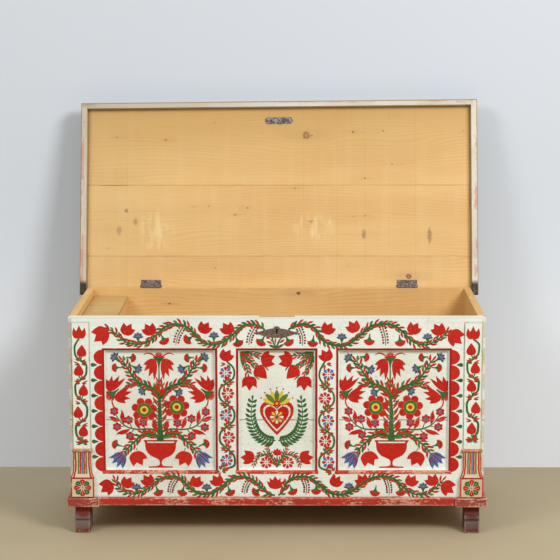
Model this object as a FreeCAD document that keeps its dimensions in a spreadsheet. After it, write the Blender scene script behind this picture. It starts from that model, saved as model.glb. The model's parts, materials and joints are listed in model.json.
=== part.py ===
import FreeCAD, Part

import os
import re

# A painted pine chest, standing open. X runs to the right, Y to the back, Z up.
# The origin is on the floor, at the middle of the space that the open chest takes up.
doc = FreeCAD.newDocument("Cassone")

CASE_SIZES = {
    "case_width": 1200,
    "case_height": 635,
    "case_depth": 551,
    "side_thick": 21,
    "back_thick": 21,
    "front_thick": 26,
    "seam_height": 333,
    "bottom_thick": 18,
    "tail_flare": 3.5,
    "cut_over": 2,
    "seat_gap": 0.3,
    "running_gap": 0.05,
}

FRONT_FRAME_SIZES = {
    "frame_thick": 13,
    "frame_inset": 8,
    "stile_width": 98,
    "muntin_width": 72,
    "centre_opening": 216,
    "top_rail_height": 98,
    "bottom_rail_height": 81,
    "panel_chamfer": 6,
}

PILASTER_SIZES = {
    "pilaster_inset": 36,
    "strip_width": 50,
    "strip_thick": 4,
    "strip_top_gap": 13,
    "strip_round": 7,
    "bead_width": 60,
    "bead_height": 9,
    "bead_out": 9,
    "bead_round": 4,
    "pedestal_height": 74,
    "pedestal_top_width": 52,
    "pedestal_top_out": 6,
    "pedestal_flare_height": 30,
    "block_height": 61,
    "block_width": 68,
    "block_out": 12,
    "block_edge": 1.5,
}

BASE_SIZES = {
    "foot_height": 80,
    "foot_width": 43,
    "foot_inset": 12,
    "foot_depth": 80,
    "foot_out": 6,
    "foot_lip": 4,
    "foot_hollow": 12,
    "foot_notch": 6,
    "foot_notch_height": 36,
    "foot_round": 2.5,
    "base_height": 26,
    "plinth_out": 14,
    "plinth_width": 92,
    "base_side_out": 9,
    "base_round": 5,
    "moulding_lift": 3,
    "moulding_out": 8,
    "dowel_radius": 5,
    "dowel_length": 40,
    "dowel_setback": 60,
}

TILL_SIZES = {
    "till_width": 106,
    "till_wall_thick": 12,
    "till_lid_thick": 12,
    "till_lid_drop": 23,
    "till_depth": 130,
    "till_bottom_thick": 10,
    "till_groove": 5,
    "till_lid_gap": 2,
    "till_end_gap": 1,
    "till_pivot_radius": 4,
    "till_pivot_length": 8,
    "cleat_width": 8,
    "cleat_height": 12,
}

LID_SIZES = {
    "rim_side_gap": 5.5,
    "rim_front_gap": 8,
    "lid_skew": 12,
    "lid_thick": 22,
    "lid_overhang": 24,
    "lid_gap": 0.3,
    "stop_gap": 0.3,
    "rear_board_reach": 97,
    "middle_board_reach": 322,
    "rim_depth": 23,
    "side_rim_thick": 17,
    "front_rim_thick": 14,
    "side_rim_inset": 4,
    "front_rim_inset": 7,
}

HINGE_SIZES = {
    "hinge_inset": 198,
    "hinge_width": 64,
    "leaf_thick": 2,
    "case_leaf_depth": 19,
    "lid_leaf_reach": 22,
    "pin_back": 6,
    "knuckle_radius": 4.5,
    "knuckle_gap": 0.4,
    "hinge_pin_radius": 2,
    "hinge_pin_end": 1,
    "nail_radius": 1.5,
    "nail_head_radius": 3,
    "nail_head_thick": 0.8,
    "nail_length": 16,
    "hinge_nail_spacing": 21,
    "lid_nail_reach": 14,
    "case_nail_setback": 9,
}

LOCK_SIZES = {
    "lock_width": 104,
    "lock_height": 67,
    "lock_depth": 20,
    "lock_wall": 1.5,
    "lock_recess": 3,
    "recess_depth": 22,
    "cover_thick": 2,
    "lock_nail_edge": 5,
    "lock_nail_length": 24,
    "guide_length": 30,
    "guide_depth": 12,
    "guide_thick": 3,
    "catch_width": 88,
    "catch_height": 20,
    "catch_thick": 2.5,
    "catch_nail_edge": 6,
    "staple_spacing": 36,
    "staple_thick": 3,
    "staple_height": 12,
    "staple_drop": 25.5,
    "eye_drop": 18,
    "eye_width": 7,
    "eye_height": 8,
    "slot_gap": 1.5,
    "bolt_throw": 12,
    "bolt_thick": 5,
    "bolt_height": 8,
    "bolt_left": 40,
    "bolt_end_gap": 2.5,
    "bolt_drop": 13.5,
    "finger_height": 6,
    "finger_length": 10,
    "finger_gap": 2.5,
    "arm_width": 6,
    "talon_width": 10,
    "talon_depth": 3.5,
    "plate_width": 116,
    "plate_height": 27,
    "plate_thick": 1.5,
    "plate_tip_radius": 4.5,
    "plate_crest_radius": 11,
    "plate_crest_rise": 9,
    "plate_drop": 44,
    "plate_pin_offset": 56,
    "plate_pin_radius": 2,
    "plate_pin_head": 1,
    "plate_pin_length": 11,
    "keyhole_radius": 3.6,
    "keyslot_width": 5.5,
    "keyslot_height": 14,
}

UPPER_TAILS = 4
LOWER_TAILS = 3
TAIL_SHARE = 0.5
KNUCKLES = 5
BOTTOM_BOARDS = ("front", "middle", "rear")

ALL_SIZES = {
    **CASE_SIZES,
    **FRONT_FRAME_SIZES,
    **PILASTER_SIZES,
    **BASE_SIZES,
    **TILL_SIZES,
    **LID_SIZES,
    **HINGE_SIZES,
    **LOCK_SIZES,
}

sheet = doc.addObject("Spreadsheet::Sheet", "Sizes")
for row, (word, size) in enumerate(ALL_SIZES.items(), 1):
    sheet.set(f"A{row}", word)
    sheet.set(f"B{row}", str(size))
    sheet.setAlias(f"B{row}", word)

# Places that follow from the sizes, each used by several pieces.
PLACES = {
    "lean": "asin((pin_back - stop_gap) / lid_overhang)",
    "front_rim_reach": "case_depth + pin_back + strip_thick + rim_front_gap + front_rim_thick",
    "lid_reach": "front_rim_reach + front_rim_inset",
    "lid_back": "(lid_reach + lid_skew / 2) * sin(lean) + lid_thick * cos(lean)",
    "front_y": "(plinth_out - case_depth - pin_back - lid_back) / 2",
    "board_y": "front_y + frame_thick",
    "inner_front_y": "board_y + front_thick",
    "back_y": "front_y + case_depth",
    "inner_back_y": "back_y - back_thick",
    "inner_side_x": "case_width / 2 - side_thick",
    "pin_y": "back_y + pin_back",
    "pin_z": "case_height + lid_gap",
    "base_top": "foot_height + base_height",
    "block_top": "base_top + block_height",
    "pedestal_top": "block_top + pedestal_height",
    "bead_top": "pedestal_top + bead_height",
    "opening_low": "base_top + bottom_rail_height",
    "opening_high": "case_height - top_rail_height",
    "frame_side_x": "case_width / 2 - frame_inset",
    "outer_opening_x": "frame_side_x - stile_width",
    "muntin_outer_x": "centre_opening / 2 + muntin_width",
    "pilaster_x": "case_width / 2 - pilaster_inset",
    "till_wall_x": "-inner_side_x + till_width",
    "till_pivot_x": "till_wall_x - till_lid_thick / 2",
    "till_pivot_z": "case_height - till_lid_drop - till_lid_thick / 2",
    "till_seat_z": "till_pivot_z - till_lid_thick / 2 - seat_gap",
    "till_floor_z": "till_seat_z - till_depth",
    "lid_rim_x": "case_width / 2 + rim_side_gap + side_rim_thick",
    "lid_width": "(lid_rim_x + side_rim_inset) * 2",
    "hinge_offset": "case_width / 2 - hinge_inset",
    "lock_top": "case_height - lock_recess",
    "lock_front_y": "inner_front_y - lock_depth",
    "lock_case_depth": "lock_depth - cover_thick",
    "staple_y": "lock_front_y + lock_wall + (lock_case_depth - lock_wall) / 2",
    "catch_reach": "pin_y - staple_y",
    "eye_z": "pin_z - eye_drop",
    "bolt_low_z": "eye_z - finger_height / 2 - bolt_drop",
    "bolt_right": "lock_width / 2 - lock_wall - bolt_throw - bolt_end_gap",
    "plate_z": "case_height - plate_drop",
    "key_z": "plate_z + plate_crest_rise",
    "plate_radius": "(plate_width ^ 2 / 4 + plate_height ^ 2 / 4) / plate_height",
}

places = doc.addObject("App::VarSet", "Places")
WORD = re.compile(r"[a-z]+(?:_[a-z]+)*")


def formula(text):
    """The text with each size and place named in full."""

    def full(match):
        word = match[0]
        if word in ALL_SIZES:
            return "Sizes." + word
        if word in PLACES:
            return "Places." + word
        return word

    return WORD.sub(full, str(text))


def bind(item, **formulas):
    """Ties properties to formulas. A double underscore stands for a dot in the property's path."""
    for path, text in formulas.items():
        item.setExpression(path.replace("__", "."), formula(text))


for word, text in PLACES.items():
    kind = "App::PropertyAngle" if word == "lean" else "App::PropertyFloat"
    places.addProperty(kind, word, "Places")
    bind(places, **{word: text})
doc.recompute()

pieces = {}
ALONG = {
    "x": FreeCAD.Rotation(FreeCAD.Vector(0, 1, 0), 90),
    "y": FreeCAD.Rotation(FreeCAD.Vector(1, 0, 0), -90),
    "z": FreeCAD.Rotation(),
}


def piece(name, on_lid=False):
    """An empty body for one piece. A lid piece is drawn on the closed lid, from the hinge pin's axis."""
    body = doc.addObject("PartDesign::Body", name)
    body.Label = name
    if on_lid:
        body.Placement = FreeCAD.Placement(
            FreeCAD.Vector(), FreeCAD.Rotation(FreeCAD.Vector(1, 0, 0), -90)
        )
        bind(
            body,
            Placement__Base__y="pin_y",
            Placement__Base__z="pin_z",
            Placement__Rotation__Angle="-90 deg - lean",
        )
    pieces[name] = body
    return body


def feature(body, kind):
    return body.newObject("PartDesign::" + kind, f"{body.Name}_step_{len(body.Group)}")


def block(body, x, y, z, cut=False):
    """Adds a box, or cuts one away. Each of x, y and z is (start, length)."""
    box = feature(body, "SubtractiveBox" if cut else "AdditiveBox")
    bind(
        box,
        Length=x[1],
        Width=y[1],
        Height=z[1],
        Placement__Base__x=x[0],
        Placement__Base__y=y[0],
        Placement__Base__z=z[0],
    )
    return box


def rod(body, along, x, y, z, radius, cut=False):
    """Adds or cuts a cylinder. The coordinate that it runs along is (start, length)."""
    rod = feature(body, "SubtractiveCylinder" if cut else "AdditiveCylinder")
    centre = {"x": x, "y": y, "z": z}
    start, length = centre[along]
    centre[along] = start
    rod.Placement = FreeCAD.Placement(FreeCAD.Vector(), ALONG[along])
    bind(
        rod,
        Radius=radius,
        Height=length,
        Placement__Base__x=centre["x"],
        Placement__Base__y=centre["y"],
        Placement__Base__z=centre["z"],
    )
    return rod


def wedge(body, y, near_x, near_z, far_x, far_z, cut=False):
    """Adds or cuts a block whose X and Z spans change evenly from its near Y face to its far one."""
    wedge = feature(body, "SubtractiveWedge" if cut else "AdditiveWedge")
    bind(
        wedge,
        Ymin=y[0],
        Ymax=y[1],
        Xmin=near_x[0],
        Xmax=near_x[1],
        Zmin=near_z[0],
        Zmax=near_z[1],
        X2min=far_x[0],
        X2max=far_x[1],
        Z2min=far_z[0],
        Z2max=far_z[1],
    )
    return wedge


def edge_names(shape, *sides):
    """The edges that lie in every one of the named sides of the shape's bounding box."""
    box = shape.BoundBox
    limit = {
        "left": ("XMin", "XMax", box.XMin),
        "right": ("XMin", "XMax", box.XMax),
        "front": ("YMin", "YMax", box.YMin),
        "back": ("YMin", "YMax", box.YMax),
        "bottom": ("ZMin", "ZMax", box.ZMin),
        "top": ("ZMin", "ZMax", box.ZMax),
    }
    tolerance = 1e-4
    names = []
    for number, edge in enumerate(shape.Edges, 1):
        bounds = edge.BoundBox
        wanted = True
        for side in sides:
            low, high, value = limit[side]
            low_off = abs(getattr(bounds, low) - value)
            high_off = abs(getattr(bounds, high) - value)
            wanted = wanted and max(low_off, high_off) < tolerance
        if wanted:
            names.append(f"Edge{number}")
    return names


def ease(body, kind, size, *side_sets):
    """Rounds or chamfers the edges in each set of sides."""
    doc.recompute()
    base = body.Tip
    names = []
    for sides in side_sets:
        names += [name for name in edge_names(base.Shape, *sides) if name not in names]
    eased = feature(body, kind)
    eased.Base = (base, names)
    bind(eased, **{"Radius" if kind == "Fillet" else "Size": size})


# The case: two boards to each wall, dovetailed at the corners.
SIDES = (("left", -1), ("right", 1))
LEVELS = (
    ("lower", "foot_height", "seam_height", LOWER_TAILS),
    ("upper", "seam_height", "case_height", UPPER_TAILS),
)


def tails(low, high, count):
    """The middle and half height, at the root, of each tail between two levels."""
    pitch = f"({high} - {low}) / {count}"
    for number in range(count):
        yield f"({low} + ({number} + 0.5) * {pitch})", f"({pitch} * {TAIL_SHARE} / 2)"


def add_tails(body, x, low, high, count):
    """Tails through the front and back walls, wider at their ends than at their roots."""
    for middle, half in tails(low, high, count):
        root = (f"{middle} - {half}", f"{middle} + {half}")
        end = (f"{middle} - {half} - tail_flare", f"{middle} + {half} + tail_flare")
        wedge(body, ("board_y", "inner_front_y"), x, end, x, root)
        wedge(body, ("inner_back_y", "back_y"), x, root, x, end)


def side_span(side):
    """The X span of a side wall, at its real thickness."""
    if side < 0:
        return "-case_width / 2", "-inner_side_x"
    return "inner_side_x", "case_width / 2"


def side_board(name, side, low, high, count):
    body = piece(name)
    x = side_span(side)
    block(
        body,
        (x[0], "side_thick"),
        ("inner_front_y", "inner_back_y - inner_front_y"),
        (low, f"{high} - {low}"),
    )
    add_tails(body, x, low, high, count)


def end_sockets(body, y, root_first, low, high, count):
    """Cuts the sockets that the side walls' tails fill, through both ends of a front or back board."""
    for _, side in SIDES:
        x = side_span(side)
        if side < 0:
            x = (f"{x[0]} - cut_over", x[1])
        else:
            x = (x[0], f"{x[1]} + cut_over")
        for middle, half in tails(low, high, count):
            root = (f"{middle} - {half}", f"{middle} + {half}")
            end = (f"{middle} - {half} - tail_flare", f"{middle} + {half} + tail_flare")
            spans = (root, end) if root_first else (end, root)
            wedge(body, y, x, spans[0], x, spans[1], cut=True)


def wall_board(name, y, root_first, low, high, count):
    body = piece(name)
    block(
        body,
        ("-case_width / 2", "case_width"),
        (y[0], f"{y[1]} - {y[0]}"),
        (low, f"{high} - {low}"),
    )
    end_sockets(body, y, root_first, low, high, count)
    return body


for level, low, high, count in LEVELS:
    wall_board(f"front_board_{level}", ("board_y", "inner_front_y"), False, low, high, count)
    wall_board(f"back_board_{level}", ("inner_back_y", "back_y"), True, low, high, count)
    for side_name, side in SIDES:
        side_board(f"{side_name}_side_{level}", side, low, high, count)

for number, board in enumerate(BOTTOM_BOARDS):
    width = f"(inner_back_y - inner_front_y) / {len(BOTTOM_BOARDS)}"
    block(
        piece(f"bottom_board_{board}"),
        ("-inner_side_x", "inner_side_x * 2"),
        (f"inner_front_y + {number} * {width}", width),
        ("foot_height", "bottom_thick"),
    )


# The planted frame on the front, with three sunk panels left between its pieces.
def panel_bevel(body, low_x, high_x):
    """Chamfers the frame around one panel opening, from its face inwards."""
    slope = "(panel_chamfer + cut_over)"
    wedge(
        body,
        ("front_y - cut_over", "front_y + panel_chamfer"),
        (f"{low_x} - {slope}", f"{high_x} + {slope}"),
        (f"opening_low - {slope}", f"opening_high + {slope}"),
        (low_x, high_x),
        ("opening_low", "opening_high"),
        cut=True,
    )


LEFT_PANEL = ("-outer_opening_x", "-muntin_outer_x")
CENTRE_PANEL = ("-centre_opening / 2", "centre_opening / 2")
RIGHT_PANEL = ("muntin_outer_x", "outer_opening_x")


def frame_member(name, x, z, panels):
    body = piece(name)
    block(body, x, ("front_y", "frame_thick"), z)
    for low_x, high_x in panels:
        panel_bevel(body, low_x, high_x)
    return body


STILE_SPAN = ("base_top", "case_height - base_top")
MUNTIN_SPAN = ("opening_low", "opening_high - opening_low")
ALL_PANELS = (LEFT_PANEL, CENTRE_PANEL, RIGHT_PANEL)
frame_member("frame_stile_left", ("-frame_side_x", "stile_width"), STILE_SPAN, (LEFT_PANEL,))
frame_member("frame_stile_right", ("outer_opening_x", "stile_width"), STILE_SPAN, (RIGHT_PANEL,))
frame_member(
    "frame_top_rail",
    ("-outer_opening_x", "outer_opening_x * 2"),
    ("opening_high", "top_rail_height"),
    ALL_PANELS,
)
frame_member(
    "frame_bottom_rail",
    ("-outer_opening_x", "outer_opening_x * 2"),
    ("base_top", "bottom_rail_height"),
    ALL_PANELS,
)
frame_member(
    "frame_muntin_left", ("-muntin_outer_x", "muntin_width"), MUNTIN_SPAN, (LEFT_PANEL, CENTRE_PANEL)
)
frame_member(
    "frame_muntin_right", ("centre_opening / 2", "muntin_width"), MUNTIN_SPAN, (CENTRE_PANEL, RIGHT_PANEL)
)


# The pilaster at each front corner: strip, bead, flared pedestal and square block.
def centred(middle, width):
    return f"{middle} - {width} / 2", width


def pilaster(side_name, side):
    middle = f"{side} * pilaster_x"
    inward = "right" if side < 0 else "left"

    strip = piece(f"pilaster_strip_{side_name}")
    block(
        strip,
        centred(middle, "strip_width"),
        ("front_y - strip_thick", "strip_thick"),
        ("bead_top", "case_height - strip_top_gap - bead_top"),
    )
    ease(strip, "Fillet", "strip_round", (inward, "top"))

    bead = piece(f"pilaster_bead_{side_name}")
    block(
        bead,
        centred(middle, "bead_width"),
        ("front_y - bead_out", "bead_out"),
        ("pedestal_top", "bead_height"),
    )
    ease(bead, "Fillet", "bead_round", ("front", "top"), ("front", "bottom"))

    pedestal = piece(f"pilaster_pedestal_{side_name}")
    block(
        pedestal,
        centred(middle, "pedestal_top_width"),
        ("front_y - pedestal_top_out", "pedestal_top_out"),
        ("block_top", "pedestal_height"),
    )
    flare(pedestal, middle)

    square = piece(f"pilaster_block_{side_name}")
    block(
        square,
        centred(middle, "block_width"),
        ("front_y - block_out", "block_out"),
        ("base_top", "block_height"),
    )
    ease(square, "Chamfer", "block_edge", ("front", "top"), ("front", "left"), ("front", "right"))


FLARE_STEPS = 3


def flare(pedestal, middle):
    """Widens the pedestal's foot in steps of growing slope, so that it reads as a hollow curve."""
    for step in range(FLARE_STEPS):
        low = flare_section(middle, 1 - step / FLARE_STEPS)
        high = flare_section(middle, 1 - (step + 1) / FLARE_STEPS)
        slab = wedge(pedestal, (low[2], high[2]), low[0], low[1], high[0], high[1])
        slab.Placement = FreeCAD.Placement(
            FreeCAD.Vector(), FreeCAD.Rotation(FreeCAD.Vector(1, 0, 0), 90)
        )


def flare_section(middle, share):
    """The X span, the outward span and the level of the flare where a share of its height is left."""
    grown = share**2
    half = f"(pedestal_top_width + (block_width - pedestal_top_width) * {grown:.4f}) / 2"
    out = f"(pedestal_top_out + (block_out - pedestal_top_out) * {grown:.4f})"
    level = f"(block_top + pedestal_flare_height * {1 - share:.4f})"
    return (f"{middle} - {half}", f"{middle} + {half}"), ("-front_y", f"-front_y + {out}"), level


for side_name, side in SIDES:
    pilaster(side_name, side)


# The base: a corner plinth under each pilaster, a moulding between them and one along each side.
def plinth(side_name, side):
    body = piece(f"corner_plinth_{side_name}")
    outer = "(case_width / 2 + base_side_out)"
    start = f"-{outer}" if side < 0 else f"{outer} - plinth_width"
    block(
        body,
        (start, "plinth_width"),
        ("front_y - plinth_out", "plinth_out + frame_thick"),
        ("foot_height", "base_height"),
    )
    ease(body, "Fillet", "base_round", ("front", "top"))


def side_moulding(side_name, side):
    body = piece(f"base_moulding_{side_name}")
    start = "-case_width / 2 - base_side_out" if side < 0 else "case_width / 2"
    block(
        body,
        (start, "base_side_out"),
        ("board_y", "back_y - board_y"),
        ("foot_height", "base_height"),
    )
    ease(body, "Fillet", "base_round", (side_name, "top"))


FRONT_MOULDING_HALF = "(case_width / 2 + base_side_out - plinth_width)"
front_moulding = piece("base_moulding_front")
block(
    front_moulding,
    (f"-{FRONT_MOULDING_HALF}", f"{FRONT_MOULDING_HALF} * 2"),
    ("front_y - moulding_out", "moulding_out + frame_thick"),
    ("foot_height + moulding_lift", "base_height - moulding_lift"),
)
ease(front_moulding, "Fillet", "base_round", ("front", "top"))


# The feet: square posts, the front ones with a hollow and a notch across their faces.
def foot_place(side):
    inner = "(case_width / 2 - foot_inset - foot_width)"
    return inner if side > 0 else f"-{inner} - foot_width"


def front_foot(side_name, side):
    body = piece(f"foot_front_{side_name}")
    x = (foot_place(side), "foot_width")
    across = (f"{x[0]} - cut_over", "foot_width + cut_over * 2")
    block(body, x, ("front_y - foot_out", "foot_depth"), ("0", "foot_height"))
    hollow_z = "foot_height - foot_lip - foot_hollow"
    rod(body, "x", across, "front_y - foot_out", hollow_z, "foot_hollow", cut=True)
    rod(body, "x", across, "front_y - foot_out", "foot_notch_height", "foot_notch", cut=True)
    ease(body, "Fillet", "foot_round", ("front", "bottom"))


def rear_foot(side_name, side):
    body = piece(f"foot_rear_{side_name}")
    block(
        body,
        (foot_place(side), "foot_width"),
        ("back_y - foot_depth", "foot_depth"),
        ("0", "foot_height"),
    )
    ease(body, "Fillet", "foot_round", ("back", "bottom"))


foot_dowels = piece("foot_dowels")
for side_name, side in SIDES:
    plinth(side_name, side)
    side_moulding(side_name, side)
    front_foot(side_name, side)
    rear_foot(side_name, side)
    for dowel_y in ("front_y + dowel_setback", "back_y - dowel_setback"):
        rod(
            foot_dowels,
            "z",
            f"{foot_place(side)} + foot_width / 2",
            dowel_y,
            ("foot_height + bottom_thick - dowel_length", "dowel_length"),
            "dowel_radius",
        )

# The till: an open box across the left end, whose lid turns over on two round tenons.
front_upper = pieces["front_board_upper"]
back_upper = pieces["back_board_upper"]
TILL_INSIDE = ("-inner_side_x", "till_width - till_wall_thick")
GROOVED_SPAN = (
    "inner_front_y - till_groove",
    "inner_back_y - inner_front_y + till_groove * 2",
)
WALL_X = ("till_wall_x - till_wall_thick", "till_wall_thick")
WALL_Z = ("till_floor_z - till_bottom_thick", "till_depth + till_bottom_thick")
FLOOR_Z = ("till_floor_z - till_bottom_thick", "till_bottom_thick")
block(piece("till_wall"), WALL_X, GROOVED_SPAN, WALL_Z)
block(piece("till_bottom"), TILL_INSIDE, GROOVED_SPAN, FLOOR_Z)
block(
    piece("till_cleat"),
    ("-inner_side_x", "cleat_width"),
    ("inner_front_y", "inner_back_y - inner_front_y"),
    ("till_seat_z - cleat_height", "cleat_height"),
)
FRONT_GROOVE = ("inner_front_y - till_groove", "till_groove + cut_over")
BACK_GROOVE = ("inner_back_y - cut_over", "till_groove + cut_over")
for board, groove in ((front_upper, FRONT_GROOVE), (back_upper, BACK_GROOVE)):
    block(board, WALL_X, groove, WALL_Z, cut=True)
    block(board, TILL_INSIDE, groove, FLOOR_Z, cut=True)

till_lid = piece("till_lid")
block(
    till_lid,
    ("-inner_side_x + till_lid_gap", "till_pivot_x + inner_side_x - till_lid_gap"),
    ("inner_front_y + till_end_gap", "inner_back_y - inner_front_y - till_end_gap * 2"),
    ("till_pivot_z - till_lid_thick / 2", "till_lid_thick"),
)
rod(
    till_lid,
    "y",
    "till_pivot_x",
    ("inner_front_y + till_end_gap", "inner_back_y - inner_front_y - till_end_gap * 2"),
    "till_pivot_z",
    "till_lid_thick / 2",
)
PIVOT_SPAN = (
    "inner_front_y - till_pivot_length",
    "inner_back_y - inner_front_y + till_pivot_length * 2",
)
rod(till_lid, "y", "till_pivot_x", PIVOT_SPAN, "till_pivot_z", "till_pivot_radius")
PIVOT_HOLE_DEPTH = "till_pivot_length + till_end_gap + cut_over"
PIVOT_HOLES = (
    (front_upper, ("inner_front_y - till_pivot_length - till_end_gap", PIVOT_HOLE_DEPTH)),
    (back_upper, ("inner_back_y - cut_over", PIVOT_HOLE_DEPTH)),
)
for board, hole in PIVOT_HOLES:
    hole_radius = "till_pivot_radius + running_gap"
    rod(board, "y", "till_pivot_x", hole, "till_pivot_z", hole_radius, cut=True)


# The lid: three boards with a rim under the front and both sides, all standing open.
# Its front edge runs slightly out of square, as the photographed lid does.
def lid_strip(name, x, near, far, z):
    """A lid piece. Near and far are (reach from the pin, whether it follows the skewed edge)."""
    body = piece(name, on_lid=True)

    def reach(edge, at):
        return f"{edge[0]} + lid_skew * ({at}) / lid_width" if edge[1] else edge[0]

    spans = [(reach(near, at), reach(far, at)) for at in x]
    strip = wedge(body, x, spans[0], z, spans[1], z)
    strip.Placement = FreeCAD.Placement(
        FreeCAD.Vector(), FreeCAD.Rotation(FreeCAD.Vector(0, 0, 1), -90)
    )
    return body


LID_X = ("-lid_width / 2", "lid_width / 2")
BOARD_Z = ("0", "lid_thick")
RIM_Z = ("-rim_depth", "0")
lid_board_rear = lid_strip(
    "lid_board_rear", LID_X, ("-lid_overhang", False), ("rear_board_reach", False), BOARD_Z
)
lid_strip(
    "lid_board_middle", LID_X, ("rear_board_reach", False), ("middle_board_reach", False), BOARD_Z
)
lid_strip("lid_board_front", LID_X, ("middle_board_reach", False), ("lid_reach", True), BOARD_Z)
lid_strip(
    "lid_rim_front",
    ("-lid_rim_x + side_rim_thick", "lid_rim_x - side_rim_thick"),
    ("front_rim_reach - front_rim_thick", True),
    ("front_rim_reach", True),
    RIM_Z,
)
lid_strip(
    "lid_rim_left",
    ("-lid_rim_x", "-lid_rim_x + side_rim_thick"),
    ("-lid_overhang", False),
    ("front_rim_reach", True),
    RIM_Z,
)
lid_strip(
    "lid_rim_right",
    ("lid_rim_x - side_rim_thick", "lid_rim_x"),
    ("-lid_overhang", False),
    ("front_rim_reach", True),
    RIM_Z,
)

# The hinges: each has a leaf let into the back wall's top, a leaf let into the lid, and a pin.
KNUCKLE_CLEAR = "(knuckle_radius + knuckle_gap)"


def knuckle_x(side, number):
    pitch = f"(hinge_width / {KNUCKLES})"
    start = f"{side} * hinge_offset - hinge_width / 2 + {pitch} * {number} + knuckle_gap / 2"
    return start, f"{pitch} - knuckle_gap"


def nail(group, x, y, head, shank, head_radius="nail_head_radius", shank_radius="nail_radius"):
    """A nail driven along Z: its head and shank are each (start, length)."""
    rod(group, "z", x, y, head, head_radius)
    rod(group, "z", x, y, shank, shank_radius)


hinge_pins = piece("hinge_pins")
case_nails = piece("hinge_nails_case")
lid_nails = piece("hinge_nails_lid", on_lid=True)


def hinge(side_name, side):
    x = centred(f"{side} * hinge_offset", "hinge_width")
    case_leaf_y = ("back_y - case_leaf_depth", f"pin_y - {KNUCKLE_CLEAR} - back_y + case_leaf_depth")
    case_leaf_z = ("case_height - leaf_thick", "leaf_thick")
    lid_leaf_y = ("-lid_leaf_reach", f"lid_leaf_reach - {KNUCKLE_CLEAR}")
    lid_leaf_z = ("0", "leaf_thick")

    case_leaf = piece(f"hinge_case_leaf_{side_name}")
    block(case_leaf, x, case_leaf_y, case_leaf_z)
    block(back_upper, x, case_leaf_y, (case_leaf_z[0], "leaf_thick + cut_over"), cut=True)

    lid_leaf = piece(f"hinge_lid_leaf_{side_name}", on_lid=True)
    block(lid_leaf, x, lid_leaf_y, lid_leaf_z)
    block(lid_board_rear, x, lid_leaf_y, ("-cut_over", "leaf_thick + cut_over"), cut=True)
    notch_x = (f"{x[0]} - hinge_pin_end * 2", "hinge_width + hinge_pin_end * 4")
    rod(lid_board_rear, "x", notch_x, "0", "0", f"{KNUCKLE_CLEAR} + knuckle_gap", cut=True)

    for number in range(KNUCKLES):
        own_x = knuckle_x(side, number)
        if number % 2:
            block(lid_leaf, own_x, (f"-{KNUCKLE_CLEAR}", KNUCKLE_CLEAR), lid_leaf_z)
            rod(lid_leaf, "x", own_x, "0", "0", "knuckle_radius")
        else:
            block(case_leaf, own_x, (f"pin_y - {KNUCKLE_CLEAR}", KNUCKLE_CLEAR), case_leaf_z)
            rod(case_leaf, "x", own_x, "pin_y", "pin_z", "knuckle_radius")
    bore_x = (f"{x[0]} - cut_over", "hinge_width + cut_over * 2")
    bore_radius = "hinge_pin_radius + running_gap"
    rod(lid_leaf, "x", bore_x, "0", "0", bore_radius, cut=True)
    rod(case_leaf, "x", bore_x, "pin_y", "pin_z", bore_radius, cut=True)
    pin_x = (f"{x[0]} - hinge_pin_end", "hinge_width + hinge_pin_end * 2")
    rod(hinge_pins, "x", pin_x, "pin_y", "pin_z", "hinge_pin_radius")

    for step in (-1, 0, 1):
        nail_x = f"{side} * hinge_offset + {step} * hinge_nail_spacing"
        nail(
            case_nails,
            nail_x,
            "back_y - case_nail_setback",
            ("case_height - nail_head_thick", "nail_head_thick"),
            ("case_height - nail_length", "nail_length"),
        )
        nail(
            lid_nails,
            nail_x,
            "-lid_nail_reach",
            ("0", "nail_head_thick"),
            ("0", "nail_length"),
        )


for side_name, side in SIDES:
    hinge(side_name, side)


# The catch plate on the lid, with two staples that drop into the lock.
catch_plate = piece("catch_plate", on_lid=True)
PLATE_END = "catch_height / 2"
block(
    catch_plate,
    (f"-catch_width / 2 + {PLATE_END}", f"catch_width - {PLATE_END} * 2"),
    (f"-catch_reach - {PLATE_END}", "catch_height"),
    ("-catch_thick", "catch_thick"),
)
catch_nails = piece("catch_nails", on_lid=True)
for side_name, side in SIDES:
    rod(
        catch_plate,
        "z",
        f"{side} * (catch_width / 2 - {PLATE_END})",
        "-catch_reach",
        ("-catch_thick", "catch_thick"),
        PLATE_END,
    )
    staple_x = centred(f"{side} * staple_spacing / 2", "staple_thick")
    staple_eye_y = centred("-catch_reach", "eye_width")
    block(
        catch_plate,
        staple_x,
        centred("-catch_reach", "staple_height"),
        ("-staple_drop", "staple_drop"),
    )
    block(catch_plate, staple_x, staple_eye_y, centred("-eye_drop", "eye_height"), cut=True)
    nail(
        catch_nails,
        f"{side} * (catch_width / 2 - catch_nail_edge)",
        "-catch_reach",
        ("-catch_thick - nail_head_thick / 2", "nail_head_thick / 2"),
        ("-catch_thick - nail_head_thick / 2", "nail_length"),
    )

# The lock: a shell let into the front wall's inner face, with a cover and a sliding bolt.
LOCK_X = centred("0", "lock_width")
LOCK_Z = ("lock_top - lock_height", "lock_height")
block(front_upper, LOCK_X, ("lock_front_y", "lock_depth + cut_over"), LOCK_Z, cut=True)
block(
    front_upper,
    LOCK_X,
    ("inner_front_y - recess_depth", "recess_depth + cut_over"),
    ("lock_top - lock_wall", "lock_recess + lock_wall + cut_over"),
    cut=True,
)

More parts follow.
